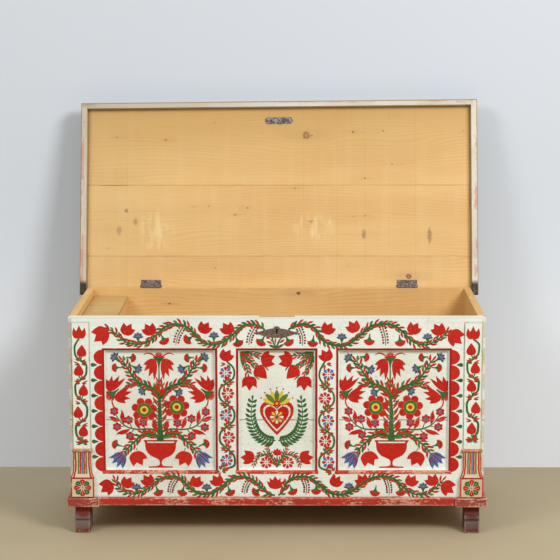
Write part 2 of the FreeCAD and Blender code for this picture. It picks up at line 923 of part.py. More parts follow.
lock_case = piece("lock_case")
block(lock_case, LOCK_X, ("lock_front_y", "lock_case_depth"), LOCK_Z)
block(
    lock_case,
    ("-lock_width / 2 + lock_wall", "lock_width - lock_wall * 2"),
    ("lock_front_y + lock_wall", "lock_case_depth"),
    ("lock_top - lock_height + lock_wall", "lock_height - lock_wall * 2"),
    cut=True,
)
for side_name, side in SIDES:
    block(
        lock_case,
        centred(f"{side} * staple_spacing / 2", "(staple_thick + slot_gap * 2)"),
        centred("staple_y", "(staple_height + slot_gap * 2)"),
        ("lock_top - lock_wall - cut_over", "lock_wall + cut_over * 2"),
        cut=True,
    )
    guide_edge = "(lock_width / 2 - lock_wall)"
    block(
        lock_case,
        (guide_edge + " - guide_length" if side > 0 else f"-{guide_edge}", "guide_length"),
        ("lock_front_y + lock_wall", "guide_depth"),
        ("bolt_low_z - seat_gap - guide_thick", "guide_thick"),
    )

block(piece("lock_cover"), LOCK_X, ("inner_front_y - cover_thick", "cover_thick"), LOCK_Z)

lock_nails = piece("lock_nails")
for side_name, side in SIDES:
    for level in ("lock_top - lock_nail_edge", "lock_top - lock_height + lock_nail_edge"):
        nail_x = f"{side} * (lock_width / 2 - lock_nail_edge)"
        shank_y = ("inner_front_y - lock_nail_length", "lock_nail_length")
        rod(lock_nails, "y", nail_x, shank_y, level, "nail_radius")
        head_y = ("inner_front_y", "nail_head_thick")
        rod(lock_nails, "y", nail_x, head_y, level, "nail_head_radius")

lock_bolt = piece("lock_bolt")
BOLT_Y = centred("staple_y", "bolt_thick")
block(lock_bolt, ("-bolt_left", "bolt_left + bolt_right"), BOLT_Y, ("bolt_low_z", "bolt_height"))
for side_name, side in SIDES:
    tip = f"({side} * staple_spacing / 2 - staple_thick / 2 - finger_gap)"
    block(
        lock_bolt,
        (f"{tip} - finger_length - arm_width", "arm_width"),
        BOLT_Y,
        ("bolt_low_z", "eye_z + finger_height / 2 - bolt_low_z"),
    )
    block(
        lock_bolt,
        (f"{tip} - finger_length - arm_width", "finger_length + arm_width"),
        BOLT_Y,
        centred("eye_z", "finger_height"),
    )
block(
    lock_bolt,
    centred("0", "talon_width"),
    ("staple_y - bolt_thick", "bolt_thick * 2"),
    ("bolt_low_z - cut_over", "talon_depth + cut_over"),
    cut=True,
)


# The keyhole: a round with a slot below it, through the plate, the rail, the board and the lock.
def keyhole(body, y):
    rod(body, "y", "0", y, "key_z", "keyhole_radius", cut=True)
    slot_z = ("key_z - keyslot_height", "keyslot_height")
    block(body, centred("0", "keyslot_width"), y, slot_z, cut=True)


escutcheon = doc.addObject("Part::MultiCommon", "escutcheon_leaf")
LEAF_SIDES = (("upper", -1), ("lower", 1))
discs = []


def plate_disc(name, x, z, radius):
    disc = doc.addObject("Part::Cylinder", name)
    disc.Placement = FreeCAD.Placement(FreeCAD.Vector(), ALONG["y"])
    bind(
        disc,
        Radius=radius,
        Height="plate_thick",
        Placement__Base__x=x,
        Placement__Base__y="front_y - plate_thick",
        Placement__Base__z=z,
    )
    return disc


for name, side in LEAF_SIDES:
    middle_z = f"plate_z + {side} * (plate_radius - plate_height / 2)"
    discs.append(plate_disc(f"leaf_arc_{name}", "0", middle_z, "plate_radius"))
escutcheon.Shapes = discs

tips = [plate_disc("leaf_crest", "0", "key_z", "plate_crest_radius")]
for side_name, side in SIDES:
    tip_x = f"{side} * plate_pin_offset"
    tips.append(plate_disc(f"leaf_tip_{side_name}", tip_x, "plate_z", "plate_tip_radius"))
leaf = doc.addObject("Part::MultiFuse", "escutcheon_outline")
leaf.Shapes = [escutcheon, *tips]

round_hole = plate_disc("leaf_keyhole", "0", "key_z", "keyhole_radius")
slot_hole = doc.addObject("Part::Box", "leaf_keyslot")
bind(
    slot_hole,
    Length="keyslot_width",
    Width="plate_thick",
    Height="keyslot_height",
    Placement__Base__x="-keyslot_width / 2",
    Placement__Base__y="front_y - plate_thick",
    Placement__Base__z="key_z - keyslot_height",
)
key_opening = doc.addObject("Part::MultiFuse", "leaf_key_opening")
key_opening.Shapes = [round_hole, slot_hole]
pierced = doc.addObject("Part::Cut", "escutcheon")
pierced.Base = leaf
pierced.Tool = key_opening
pierced.Label = "escutcheon"
pieces["escutcheon"] = pierced

keyhole(pieces["frame_top_rail"], ("front_y - cut_over", "frame_thick + cut_over * 2"))
keyhole(front_upper, ("board_y - cut_over", "front_thick + cut_over"))
keyhole(lock_case, ("lock_front_y - cut_over", "lock_wall + cut_over * 2"))

plate_pins = piece("escutcheon_pins")
for side_name, side in SIDES:
    pin_x = f"{side} * plate_pin_offset"
    shank_y = ("front_y - plate_thick", "plate_thick + plate_pin_length")
    rod(plate_pins, "y", pin_x, shank_y, "plate_z", "plate_pin_radius / 2")
    head_y = ("front_y - plate_thick - plate_pin_head", "plate_pin_head")
    rod(plate_pins, "y", pin_x, head_y, "plate_z", "plate_pin_radius")

doc.recompute()
faults = []
for item in doc.Objects:
    if "Invalid" in item.State or "Error" in item.State:
        faults.append(f"{item.Name} is {item.State}")
for name, item in pieces.items():
    if item.Shape.isNull() or not item.Shape.isValid():
        faults.append(f"{name} has no sound shape")
    elif item.Shape.Volume <= 0:
        faults.append(f"{name} is empty")
if faults:
    raise RuntimeError("; ".join(faults))

os.makedirs("parts", exist_ok=True)
for name, item in pieces.items():
    item.Shape.exportStep(f"parts/{name}.step")
whole = Part.makeCompound([item.Shape for item in pieces.values()])
box = whole.BoundBox
print(f"{len(pieces)} pieces, X {box.XMin:.2f} to {box.XMax:.2f}, Y {box.YMin:.2f} to {box.YMax:.2f}")
print(f"Z {box.ZMin:.2f} to {box.ZMax:.2f}")
for word in ("lean", "front_y", "pin_y", "pin_z", "till_pivot_x", "till_pivot_z", "staple_y"):
    print(word, getattr(places, word))
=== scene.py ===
import cmath
import json
import math
import random

import bpy
from mathutils import Matrix, Vector


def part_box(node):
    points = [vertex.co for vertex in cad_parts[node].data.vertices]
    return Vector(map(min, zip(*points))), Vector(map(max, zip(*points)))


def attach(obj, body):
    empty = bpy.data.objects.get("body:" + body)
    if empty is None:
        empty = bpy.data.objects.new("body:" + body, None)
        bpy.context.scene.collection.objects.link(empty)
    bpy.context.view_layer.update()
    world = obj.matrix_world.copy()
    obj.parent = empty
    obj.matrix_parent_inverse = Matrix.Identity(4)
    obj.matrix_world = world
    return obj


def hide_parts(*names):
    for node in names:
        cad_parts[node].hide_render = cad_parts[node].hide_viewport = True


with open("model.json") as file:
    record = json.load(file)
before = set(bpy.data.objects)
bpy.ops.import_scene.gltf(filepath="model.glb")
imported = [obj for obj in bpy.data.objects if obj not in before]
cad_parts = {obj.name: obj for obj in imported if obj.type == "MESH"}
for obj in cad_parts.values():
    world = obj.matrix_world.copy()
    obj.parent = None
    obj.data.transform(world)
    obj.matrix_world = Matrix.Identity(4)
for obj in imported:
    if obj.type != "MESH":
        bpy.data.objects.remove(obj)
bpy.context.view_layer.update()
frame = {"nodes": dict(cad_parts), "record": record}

# The view: a long lens in front of the chest and well above it, looking slightly down.
# The place and the lens were solved from the chest's own edges.
SENSOR_MM = 36
LENS_MM = 127.55
VIEW_DEPTH = 60
CAMERA_PLACE = (0.0738, -5.9502, 1.6276)
CAMERA_TURN = 0.0114
CAMERA_PITCH = 0.1564
CAMERA_ROLL = -0.0019
lens_camera = bpy.data.cameras.new("view_camera")
lens_camera.sensor_width = SENSOR_MM
lens_camera.lens = LENS_MM
lens_camera.clip_end = VIEW_DEPTH
view_camera = bpy.data.objects.new("view_camera", lens_camera)
bpy.context.collection.objects.link(view_camera)
view_camera.matrix_world = (
    Matrix.Translation(CAMERA_PLACE)
    @ Matrix.Rotation(CAMERA_TURN, 4, "Z")
    @ Matrix.Rotation(math.pi / 2 - CAMERA_PITCH, 4, "X")
    @ Matrix.Rotation(CAMERA_ROLL, 4, "Z")
)
bpy.context.scene.camera = view_camera
bpy.context.scene.view_settings.view_transform = "Standard"

# The light: daylight from two large round windows in front of the chest, the right one stronger.
# Both look at the middle of the chest.
WINDOWS = (
    ("window_right", (2.6, -3.4, 3.4), 152),
    ("window_left", (-2.7, -3.2, 3.2), 60),
)
WINDOW_WIDE = 1.8
CHEST_MIDDLE = Vector((0, 0, 0.5))
for name, place, power in WINDOWS:
    lamp = bpy.data.lights.new(name, "AREA")
    lamp.shape = "DISK"
    lamp.size = WINDOW_WIDE
    lamp.energy = power
    window = bpy.data.objects.new(name, lamp)
    window.location = place
    window.rotation_euler = (CHEST_MIDDLE - Vector(place)).to_track_quat("-Z", "Y").to_euler()
    bpy.context.collection.objects.link(window)


# The room: a pale sky colour all around, which gives less light from low down, where furniture and
# skirting would stand. The camera sees it evenly bright.
class ShaderNodes:
    """The nodes of one material or group. An input takes a value or another node's output."""

    def __init__(self, tree):
        self.tree = tree

    def link(self, socket, value):
        if isinstance(value, bpy.types.NodeSocket):
            self.tree.links.new(value, socket)
        else:
            socket.default_value = value

    def add(self, kind, links=None, **settings):
        node = self.tree.nodes.new("ShaderNode" + kind)
        for name, value in settings.items():
            setattr(node, name, value)
        for socket, value in (links or {}).items():
            self.link(node.inputs[socket], value)
        return node.outputs

    def place(self):
        """Where a point lies on the chest, in metres."""
        return self.add("TexCoord")["Object"]

    def maths(self, operation, first, second=0.0, third=0.0):
        return self.add("Math", {0: first, 1: second, 2: third}, operation=operation)[0]

    def times(self, first, second):
        return self.maths("MULTIPLY", first, second)

    def minus(self, first, second):
        return self.maths("SUBTRACT", first, second)

    def least(self, first, second):
        return self.maths("MINIMUM", first, second)

    def most(self, first, second):
        return self.maths("MAXIMUM", first, second)

    def away(self, value, level):
        """How far a value lies from a level, on either side."""
        return self.maths("ABSOLUTE", self.minus(value, level))

    def fade(self, value, start, end, low=0.0, high=1.0):
        """A smooth change from low to high while the value goes from start to end."""
        sockets = {"Value": value, "From Min": start, "From Max": end, "To Min": low, "To Max": high}
        return self.add("MapRange", sockets, interpolation_type="SMOOTHSTEP")["Result"]

    def vector(self, operation, first, second=(0, 0, 0)):
        return self.add("VectorMath", {0: first, 1: second}, operation=operation)["Vector"]

    def length(self, vector):
        return self.add("VectorMath", {0: vector}, operation="LENGTH")["Value"]

    def parts(self, vector):
        return self.add("SeparateXYZ", {0: vector})

    def joined(self, x=0.0, y=0.0, z=0.0):
        return self.add("CombineXYZ", {0: x, 1: y, 2: z})[0]

    def stretched(self, vector, scale):
        return self.add("Mapping", {"Vector": vector, "Scale": scale})["Vector"]

    def noise(self, vector, scale, detail=3.0, roughness=0.55):
        sockets = {"Vector": vector, "Scale": scale, "Detail": detail, "Roughness": roughness}
        return self.add("TexNoise", sockets)["Fac"]

    def streaks(self, vector, scales, detail=3.0, roughness=0.55):
        """Noise of another fineness along each axis."""
        return self.noise(self.stretched(vector, scales), 1.0, detail, roughness)

    def washed(self, colour, *washes):
        """Lays washes over a colour in turn, each a share and a colour of its own."""
        for share, wash in washes:
            colour = self.add("Mix", {0: share, 6: colour, 7: wash}, data_type="RGBA")[2]
        return colour

    def use(self, group, **links):
        """Places a group of nodes and returns what it puts out."""
        node = self.tree.nodes.new("ShaderNodeGroup")
        node.node_tree = group.tree
        for name, value in links.items():
            self.link(node.inputs[name], value)
        return node.outputs

    def give(self, **links):
        """Sets what a group puts out."""
        for name, value in links.items():
            self.link(self.tree.nodes["Group Output"].inputs[name], value)

    def bumped(self, height, depth):
        return self.add("Bump", {"Height": height, "Distance": depth, "Strength": 1.0})["Normal"]

    def finish(self, **links):
        """Sets the shader's inputs. An underscore stands for a space in an input's name."""
        for name, value in links.items():
            self.link(self.tree.nodes["Principled BSDF"].inputs[name.replace("_", " ")], value)


ROOM_COLOUR = (0.90, 0.95, 1.0, 1)
ROOM_LOW = 0.06
ROOM_HIGH = 0.74
ROOM_SEEN = 0.72
world = bpy.context.scene.world or bpy.data.worlds.new("room")
bpy.context.scene.world = world
world.use_nodes = True
room = ShaderNodes(world.node_tree)
height = room.parts(room.add("TexCoord")["Generated"])["Z"]
strength = room.fade(height, 0.0, 0.5, ROOM_LOW, ROOM_HIGH)
seen = room.add("LightPath")["Is Camera Ray"]
strength = room.add("Mix", {0: seen, 2: strength, 3: ROOM_SEEN})[0]
room_light = world.node_tree.nodes["Background"]
room_light.inputs["Color"].default_value = ROOM_COLOUR
room.link(room_light.inputs["Strength"], strength)


# The floor, and the wall close behind the chest: plain, pale and matt. They aren't part of the
# chest. The wall is only seen from the front and throws no shadow.
def linear(red, green, blue):
    """A colour given as it looks on a screen, 0 to 255, as Blender's linear colour."""
    shares = (value / 255 for value in (red, green, blue))
    return (*(s / 12.92 if s <= 0.04045 else ((s + 0.055) / 1.055) ** 2.4 for s in shares), 1)


def new_material(name, colour):
    """A material and its nodes. The plain colour is for the viewport."""
    material = bpy.data.materials.new(name)
    material.use_nodes = True
    material.diffuse_color = colour
    return material, ShaderNodes(material.node_tree)


def backdrop(name, material, place):
    """A large plane, put where a matrix says."""
    bpy.ops.mesh.primitive_plane_add(size=1)
    plane = bpy.context.object
    plane.name = name
    plane.data.transform(place)
    plane.data.materials.append(material)
    return plane


FLOOR_ROUGH = 0.75
ROOM_WIDE = 12.0
WALL_Y = 0.413
WALL_HEIGHT = 4.0
WALL_ROUGH = 0.9
floor_material, nodes = new_material("pale_floor", linear(200, 184, 154))
cloud = nodes.noise(nodes.place(), 1.6)
floor_colour = nodes.washed(linear(166, 149, 116), (cloud, linear(184, 168, 136)))
nodes.finish(Base_Color=floor_colour, Roughness=FLOOR_ROUGH)
floor = backdrop("room_floor", floor_material, Matrix.Diagonal((ROOM_WIDE, ROOM_WIDE, 1, 1)))

wall_material, nodes = new_material("pale_wall", linear(222, 226, 231))
# Painted light on the wall: paler near the floor and darker higher up.
rise = nodes.fade(nodes.parts(nodes.place())["Z"], 0.0, 1.1)
wall_colour = nodes.washed(linear(236, 240, 247), (rise, linear(212, 218, 226)))
nodes.finish(Base_Color=wall_colour, Roughness=WALL_ROUGH)
wall_nodes = wall_material.node_tree.nodes
behind = nodes.add("NewGeometry")["Backfacing"]
plain = wall_nodes["Principled BSDF"].outputs["BSDF"]
see_through = nodes.add("BsdfTransparent")["BSDF"]
one_sided = nodes.add("MixShader", {0: behind, 1: plain, 2: see_through})["Shader"]
nodes.link(wall_nodes["Material Output"].inputs["Surface"], one_sided)
wall_place = (
    Matrix.Translation((0, WALL_Y, WALL_HEIGHT / 2))
    @ Matrix.Rotation(math.pi / 2, 4, "X")
    @ Matrix.Diagonal((ROOM_WIDE, WALL_HEIGHT, 1, 1))
)
wall = backdrop("room_wall", wall_material, wall_place)
wall.visible_shadow = False
wall.visible_diffuse = False
wall.visible_glossy = False

# The floor of the chest: three rough boards, their grain running the long way. Like every board of
# the chest they are sawn pine, planed by hand and darkened by age to honey.
def new_group(name, inputs, outputs):
    """An effect that several materials share, with what it takes in."""
    tree = bpy.data.node_groups.new(name, "ShaderNodeTree")
    for direction, sockets in (("INPUT", inputs), ("OUTPUT", outputs)):
        for socket, kind in sockets.items():
            tree.interface.new_socket(socket, in_out=direction, socket_type=f"NodeSocket{kind}")
    tree.nodes.new("NodeGroupOutput")
    return ShaderNodes(tree), tree.nodes.new("NodeGroupInput").outputs


# One knot: how far it pushes the grain aside, its eye, and the darker wood around it. Depth is how
# dark the eye is, from 0 for a ghost of a knot to 1 for a dead one.
knot, knot_in = new_group(
    "knot",
    {"Place": "Vector", "Centre": "Vector", "Size": "Float", "Tall": "Float", "Depth": "Float"},
    {"Push": "Float", "Eye": "Float", "Halo": "Float"},
)
way = knot.vector("SUBTRACT", knot_in["Place"], knot_in["Centre"])
parts = knot.parts(way)
ragged = knot.minus(knot.noise(knot_in["Place"], 130), 0.5)
round_way = knot.joined(parts["X"], knot.maths("DIVIDE", parts["Y"], knot_in["Tall"]))
far = knot.maths("DIVIDE", knot.length(round_way), knot_in["Size"])
far = knot.maths("ADD", far, knot.times(ragged, 1.3))
far_along = knot.length(knot.stretched(way, (0.25, 1.0, 0.0)))
far_along = knot.maths("DIVIDE", far_along, knot_in["Size"])
aside = knot.fade(knot.maths("DIVIDE", parts["Y"], knot_in["Size"]), -0.6, 0.6, -1.0, 1.0)
push = knot.times(knot.fade(far_along, 0.0, 4.0, 1.0, 0.0), aside)
knot.give(
    Push=knot.times(push, knot_in["Size"]),
    Eye=knot.times(knot.fade(far, 0.35, 1.1, 1.0, 0.0), knot_in["Depth"]),
    Halo=knot.times(knot.fade(far_along, 0.6, 2.6, 1.0, 0.0), knot_in["Depth"]),
)

# The grain: long arches of dark late wood. X runs along the board, Y across it, Z through it.
RINGS_TO_A_METRE = 115.0
grain, grain_in = new_group(
    "pine_grain",
    {
        "Place": "Vector",
        "Seed": "Float",
        "Push": "Float",
        "Eye": "Float",
        "Halo": "Float",
        "Light": "Color",
        "Dark": "Color",
        "Line": "Float",
    },
    {"Color": "Color", "Height": "Float", "Roughness": "Float"},
)
shift = grain.joined(grain_in["Seed"], grain_in["Seed"])
place = grain.vector("ADD", grain_in["Place"], shift)
arches = grain.streaks(place, (0.9, 5.0, 5.0), 2.0)
waver = grain.streaks(place, (5.0, 30.0, 30.0))
across = grain.maths("MULTIPLY_ADD", arches, 0.16, grain.parts(place)["Y"])
across = grain.maths("MULTIPLY_ADD", waver, 0.006, across)
across = grain.minus(across, grain_in["Push"])
ring = grain.maths("FRACT", grain.times(across, RINGS_TO_A_METRE))
late = grain.times(grain.fade(ring, 0.35, 0.93), grain.fade(ring, 0.95, 1.0, 1.0, 0.0))
late = grain.times(late, grain.fade(grain.streaks(place, (2, 9, 9)), 0.3, 0.75, 0.2, 1.0))
fibre = grain.streaks(place, (14, 900, 900), 2.0)
tone = grain.streaks(place, (1.5, 7, 7), 2.0)
rubbed = grain.streaks(place, (26, 1.6, 1.6))
cloud = grain.noise(place, 5.5)
eye_middle = grain.fade(grain_in["Eye"], 0.84, 1.0)
eye_colour = grain.washed(linear(112, 72, 46), (eye_middle, linear(168, 122, 78)))
wood_colour = grain.washed(
    grain_in["Light"],
    (grain.times(late, grain_in["Line"]), grain_in["Dark"]),
    (grain.fade(tone, 0.3, 0.75, 0.0, 0.4), grain_in["Dark"]),
    (grain.fade(cloud, 0.45, 0.75, 0.0, 0.18), linear(214, 190, 138)),
    (grain.fade(rubbed, 0.46, 0.7, 0.0, 0.16), linear(240, 206, 148)),
    (grain.fade(fibre, 0.35, 0.8, 0.0, 0.12), linear(132, 92, 44)),
    (grain.times(grain_in["Halo"], 0.22), linear(176, 132, 78)),
    (grain.times(grain_in["Eye"], 1.7), eye_colour),
)
grain.give(
    Color=wood_colour,
    Height=grain.maths("MULTIPLY_ADD", late, 0.5, grain.times(fibre, 0.5)),
    Roughness=grain.fade(fibre, 0.2, 0.9, 0.5, 0.68),
)

joints = {joint["name"]: joint for joint in frame["record"]["behaviour"]["joints"]}
LID_PIN = Vector(joints["lid_hinge"]["pos_m"])
LID_SWING = math.radians(joints["lid_hinge"]["range_deg"][1])
# Turns a point of the open lid to the closed lid's own axes, with the hinge pins at zero.
TO_CLOSED_LID = Matrix.Rotation(LID_SWING, 3, "X")


def board_place(nodes, order="xyz", on_lid=False):
    """Coordinates along, across and through a board, named by the axes that they follow."""
    place = nodes.place()
    if on_lid:
        shift = -(TO_CLOSED_LID @ LID_PIN)
        turned = {"Vector": place, "Location": shift, "Rotation": (LID_SWING, 0, 0)}
        place = nodes.add("Mapping", turned)["Vector"]
    parts = nodes.parts(place)
    return nodes.joined(*(parts[axis.upper()] for axis in order))


KNOT_TALL = 0.8


def grained(nodes, place, seed, light, dark, knots=(), line=0.55):
    """The pine's colour, height and roughness. A knot is (along, across, size, depth, tall)."""
    totals = {"Push": 0.0, "Eye": 0.0, "Halo": 0.0}
    for along, across_at, size, depth, *tall in knots:
        shape = {"Size": size, "Depth": depth, "Tall": tall[0] if tall else KNOT_TALL}
        marks = nodes.use(knot, Place=place, Centre=(along, across_at, 0), **shape)
        for name, operation in (("Push", "ADD"), ("Eye", "MAXIMUM"), ("Halo", "MAXIMUM")):
            totals[name] = nodes.maths(operation, marks[name], totals[name])
    return nodes.use(grain, Place=place, Seed=seed, Light=light, Dark=dark, Line=line, **totals)


# The colours of the early and the late wood.
PINE_TONES = (linear(231, 190, 121), linear(203, 148, 81))
GRAIN_DEPTH = 0.00025


def pine(name, seed, order, tones=PINE_TONES, knots=(), on_lid=False, line=0.45, aged=None):
    """A board's bare surface. Aged adds its own marks to the plain grain's colour."""
    material, nodes = new_material(name, tones[0])
    place = board_place(nodes, order, on_lid)
    board = grained(nodes, place, seed, *tones, knots, line)
    colour = aged(nodes, place, board["Color"]) if aged else board["Color"]
    normal = nodes.bumped(board["Height"], GRAIN_DEPTH)
    nodes.finish(Base_Color=colour, Roughness=board["Roughness"], Normal=normal)
    return material


def cover(node, materials):
    """Gives an object its materials in place of those it came with."""
    node.data.materials.clear()
    for material in materials:
        node.data.materials.append(material)


MERGE_WITHIN = 0.000002
SAME_FLAT = math.radians(0.5)
SHARP_FROM = math.radians(35)
SMOOTH_UP_TO = math.radians(30)


def eased_copy(node, edge, materials, segments=2):
    """A copy of a wooden piece with its sharp edges rubbed round, which stands for the CAD one."""
    piece = frame["nodes"][node].copy()
    piece.data = piece.data.copy()
    piece.name = f"{node}_wood"
    piece.data.name = piece.name
    bpy.context.collection.objects.link(piece)
    bpy.ops.object.select_all(action="DESELECT")
    piece.select_set(True)
    bpy.context.view_layer.objects.active = piece
    bpy.ops.object.mode_set(mode="EDIT")
    bpy.ops.mesh.select_all(action="SELECT")
    bpy.ops.mesh.remove_doubles(threshold=MERGE_WITHIN)
    bpy.ops.mesh.dissolve_limited(angle_limit=SAME_FLAT)
    bpy.ops.object.mode_set(mode="OBJECT")
    bevel = piece.modifiers.new("rubbed_edges", "BEVEL")
    bevel.width = edge
    bevel.segments = segments
    bevel.limit_method = "ANGLE"
    bevel.angle_limit = SHARP_FROM
    bpy.ops.object.modifier_apply(modifier=bevel.name)
    bpy.ops.object.shade_smooth_by_angle(angle=SMOOTH_UP_TO)
    flat = piece.modifiers.new("flat_faces", "WEIGHTED_NORMAL")
    flat.keep_sharp = True
    flat.weight = 100
    bpy.ops.object.modifier_apply(modifier=flat.name)
    cover(piece, materials)
    return piece


behaviour = frame["record"]["behaviour"]
body_of_node = {node: body for body, nodes in behaviour["bodies"].items() for node in nodes}
slot_of_node = {part["node"]: part["material_slot"] for part in frame["record"]["subparts"]}


def stand_for(piece, node):
    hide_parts(node)
    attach(piece, body_of_node[node])


SAWN_EDGE = 0.0008
for board, seed in (("front", 3.1), ("middle", 4.1), ("rear", 5.1)):
    node = f"bottom_board_{board}"
    stand_for(eased_copy(node, SAWN_EDGE, [pine(f"floor_pine_{board}", seed, "xyz")]), node)

# The walls: two wide pine boards each, dovetailed at the corners. The inside is bare, the front's
# face is the ground of the three panels, the ends are plainly painted and the back never was.
SEAM_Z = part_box("front_board_lower")[1][2]
FRONT_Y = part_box("frame_top_rail")[0][1]
BOARD_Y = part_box("front_board_upper")[0][1]

# The old paint: a chalky coat brushed on by hand, yellowed and stained. It is rubbed thin and lost in
# chips, most of all along the edges, down to the coat below it and then to the wood.
old_paint, paint_in = new_group(
    "old_paint",
    {
        "Place": "Vector",
        "Paint": "Color",
        "Stain": "Color",
        "Primer": "Color",
        "Under": "Color",
        "Wear": "Float",
        "Edge": "Float",
    },
    {"Color": "Color", "Height": "Float", "Roughness": "Float", "Lost": "Float"},
)
place = paint_in["Place"]
chip_fine = old_paint.noise(place, 170.0, 5.0, 0.7)
chip_broad = old_paint.noise(place, 13.0)
chips = old_paint.maths("MULTIPLY_ADD", chip_broad, 0.55, old_paint.times(chip_fine, 0.45))
patches = old_paint.fade(old_paint.noise(place, 24.0), 0.4, 0.62, 0.15, 1.0)
chips = old_paint.maths("MULTIPLY_ADD", old_paint.times(paint_in["Edge"], patches), 0.3, chips)
chips = old_paint.maths("ADD", chips, paint_in["Wear"])
thinned = old_paint.fade(chips, 0.63, 0.69)
lost = old_paint.fade(chips, 0.72, 0.75)
brushed = old_paint.streaks(place, (7, 7, 160))
clouds = old_paint.noise(place, 4.5, 4.0)
specks = old_paint.noise(place, 320.0, 2.0)
scratches = old_paint.streaks(place, (9, 9, 520), 4.0)
crack_place = old_paint.vector("MULTIPLY", place, (1.0, 1.0, 0.45))
cells = {"Vector": crack_place, "Scale": 120.0}
crack = old_paint.add("TexVoronoi", cells, feature="DISTANCE_TO_EDGE")["Distance"]
crack = old_paint.fade(crack, 0.0, 0.045, 1.0, 0.0)
crack = old_paint.times(crack, old_paint.fade(chip_broad, 0.42, 0.62))
# The seam of the front's two boards has opened into a dark line across the sunk panels.
parts = old_paint.parts(place)
seam_gap = old_paint.fade(old_paint.away(parts["Z"], SEAM_Z), 0.0006, 0.0015, 1.0, 0.0)
on_panels = old_paint.fade(old_paint.away(parts["Y"], BOARD_Y), 0.001, 0.002, 1.0, 0.0)
seam_gap = old_paint.times(seam_gap, on_panels)
seam_gap = old_paint.times(seam_gap, old_paint.fade(chip_fine, 0.3, 0.55, 0.35, 0.95))
coat = old_paint.washed(
    paint_in["Paint"],
    (old_paint.fade(clouds, 0.42, 0.72, 0.0, 0.5), paint_in["Stain"]),
    (old_paint.fade(brushed, 0.35, 0.7, 0.0, 0.22), paint_in["Stain"]),
    (old_paint.times(crack, 0.34), linear(96, 78, 58)),
    (old_paint.fade(specks, 0.64, 0.74, 0.0, 0.38), linear(104, 84, 62)),
    (old_paint.fade(scratches, 0.66, 0.76, 0.0, 0.5), linear(150, 128, 96)),
    (old_paint.times(paint_in["Edge"], 0.35), linear(150, 136, 106)),
    (old_paint.times(thinned, 0.85), paint_in["Primer"]),
    (lost, paint_in["Under"]),
    (seam_gap, linear(58, 42, 30)),
)
relief = old_paint.maths("MULTIPLY_ADD", lost, -0.6, old_paint.times(brushed, 0.35))
relief = old_paint.maths("MULTIPLY_ADD", crack, -0.2, relief)
relief = old_paint.maths("MULTIPLY_ADD", seam_gap, -1.5, relief)
old_paint.give(
    Color=coat,
    Height=relief,
    Roughness=old_paint.fade(brushed, 0.2, 0.8, 0.5, 0.64),
    Lost=old_paint.most(lost, seam_gap),
)

# How near a point is to an edge of a box: 1 on the edge, 0 further in than the reach.
box_edge, edge_in = new_group(
    "edge_wear",
    {"Place": "Vector", "Low": "Vector", "High": "Vector", "Reach": "Float"},
    {"Edge": "Float"},
)
from_low = box_edge.vector("SUBTRACT", edge_in["Place"], edge_in["Low"])
from_high = box_edge.vector("SUBTRACT", edge_in["High"], edge_in["Place"])
near = box_edge.parts(box_edge.vector("MINIMUM", from_low, from_high))
smaller = box_edge.least(near["X"], near["Y"])
larger = box_edge.most(near["X"], near["Y"])
second = box_edge.most(smaller, box_edge.least(larger, near["Z"]))
reached = box_edge.maths("DIVIDE", second, edge_in["Reach"])
box_edge.give(Edge=box_edge.fade(reached, 0.0, 1.0, 1.0, 0.0))

GROUND = linear(233, 238, 229)
GROUND_STAIN = linear(212, 206, 184)
GROUND_PRIMER = linear(216, 198, 162)
BARE_WOOD = linear(190, 146, 96)
BARE_WOOD_DARK = linear(144, 100, 58)
PAINT_DEPTH = 0.0004
PAINT_GLOSS = 0.3


def corners_of(*nodes):
    """The low and high corners of the box around some nodes."""
    boxes = [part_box(node) for node in nodes]
    low = Vector([min(box[0][axis] for box in boxes) for axis in range(3)])
    high = Vector([max(box[1][axis] for box in boxes) for axis in range(3)])
    return low, high


def edge_of(nodes, place, corners, reach):
    low, high = corners
    return nodes.use(box_edge, Place=place, Low=low, High=high, Reach=reach)["Edge"]


def paint_over_wood(nodes, place, paint, stain, wear, edge, primer=GROUND_PRIMER, wood=BARE_WOOD):
    """The old paint's colour, height and roughness over bare wood."""
    bare = grained(nodes, place, 7.7, wood, BARE_WOOD_DARK, (), 0.6)["Color"]
    colours = {"Paint": paint, "Stain": stain, "Primer": primer, "Under": bare}
    return nodes.use(old_paint, Place=place, Wear=wear, Edge=edge, **colours)


def finish_paint(nodes, colour, layer):
    normal = nodes.bumped(layer["Height"], PAINT_DEPTH)
    nodes.finish(Base_Color=colour, Roughness=layer["Roughness"], Normal=normal)
    nodes.finish(Specular_IOR_Level=PAINT_GLOSS)


def rubbed_streaks(nodes, place, strength, middle):
    """Wear in short streaks that lie across the front."""
    streaks = nodes.minus(nodes.streaks(place, (70, 210, 210), 4.0, 0.65), 0.5)
    return nodes.maths("MULTIPLY_ADD", streaks, strength, middle)


def painted(
    name, paint, stain, corners=None, wear=0.0, reach=0.004, on_lid=False, streaks=0.0, **coats
):
    """Old paint on wood. Corners are those of the box whose edges are worn."""
    material, nodes = new_material(name, paint)
    place = board_place(nodes, on_lid=on_lid)
    edge = edge_of(nodes, place, corners, reach) if corners else 0.0
    if streaks:
        wear = rubbed_streaks(nodes, place, streaks, wear)
    layer = paint_over_wood(nodes, place, paint, stain, wear, edge, **coats)
    finish_paint(nodes, layer["Color"], layer)
    return material


# How squarely a face looks to one side, to count as that side's.
FACES_IT = 0.6


def face_paint(piece, number, *sides):
    """Gives another of the piece's materials to the faces that look to these sides."""
    for face in piece.data.polygons:
        if any(face.normal.dot(Vector(side)) > FACES_IT for side in sides):
            face.material_index = number


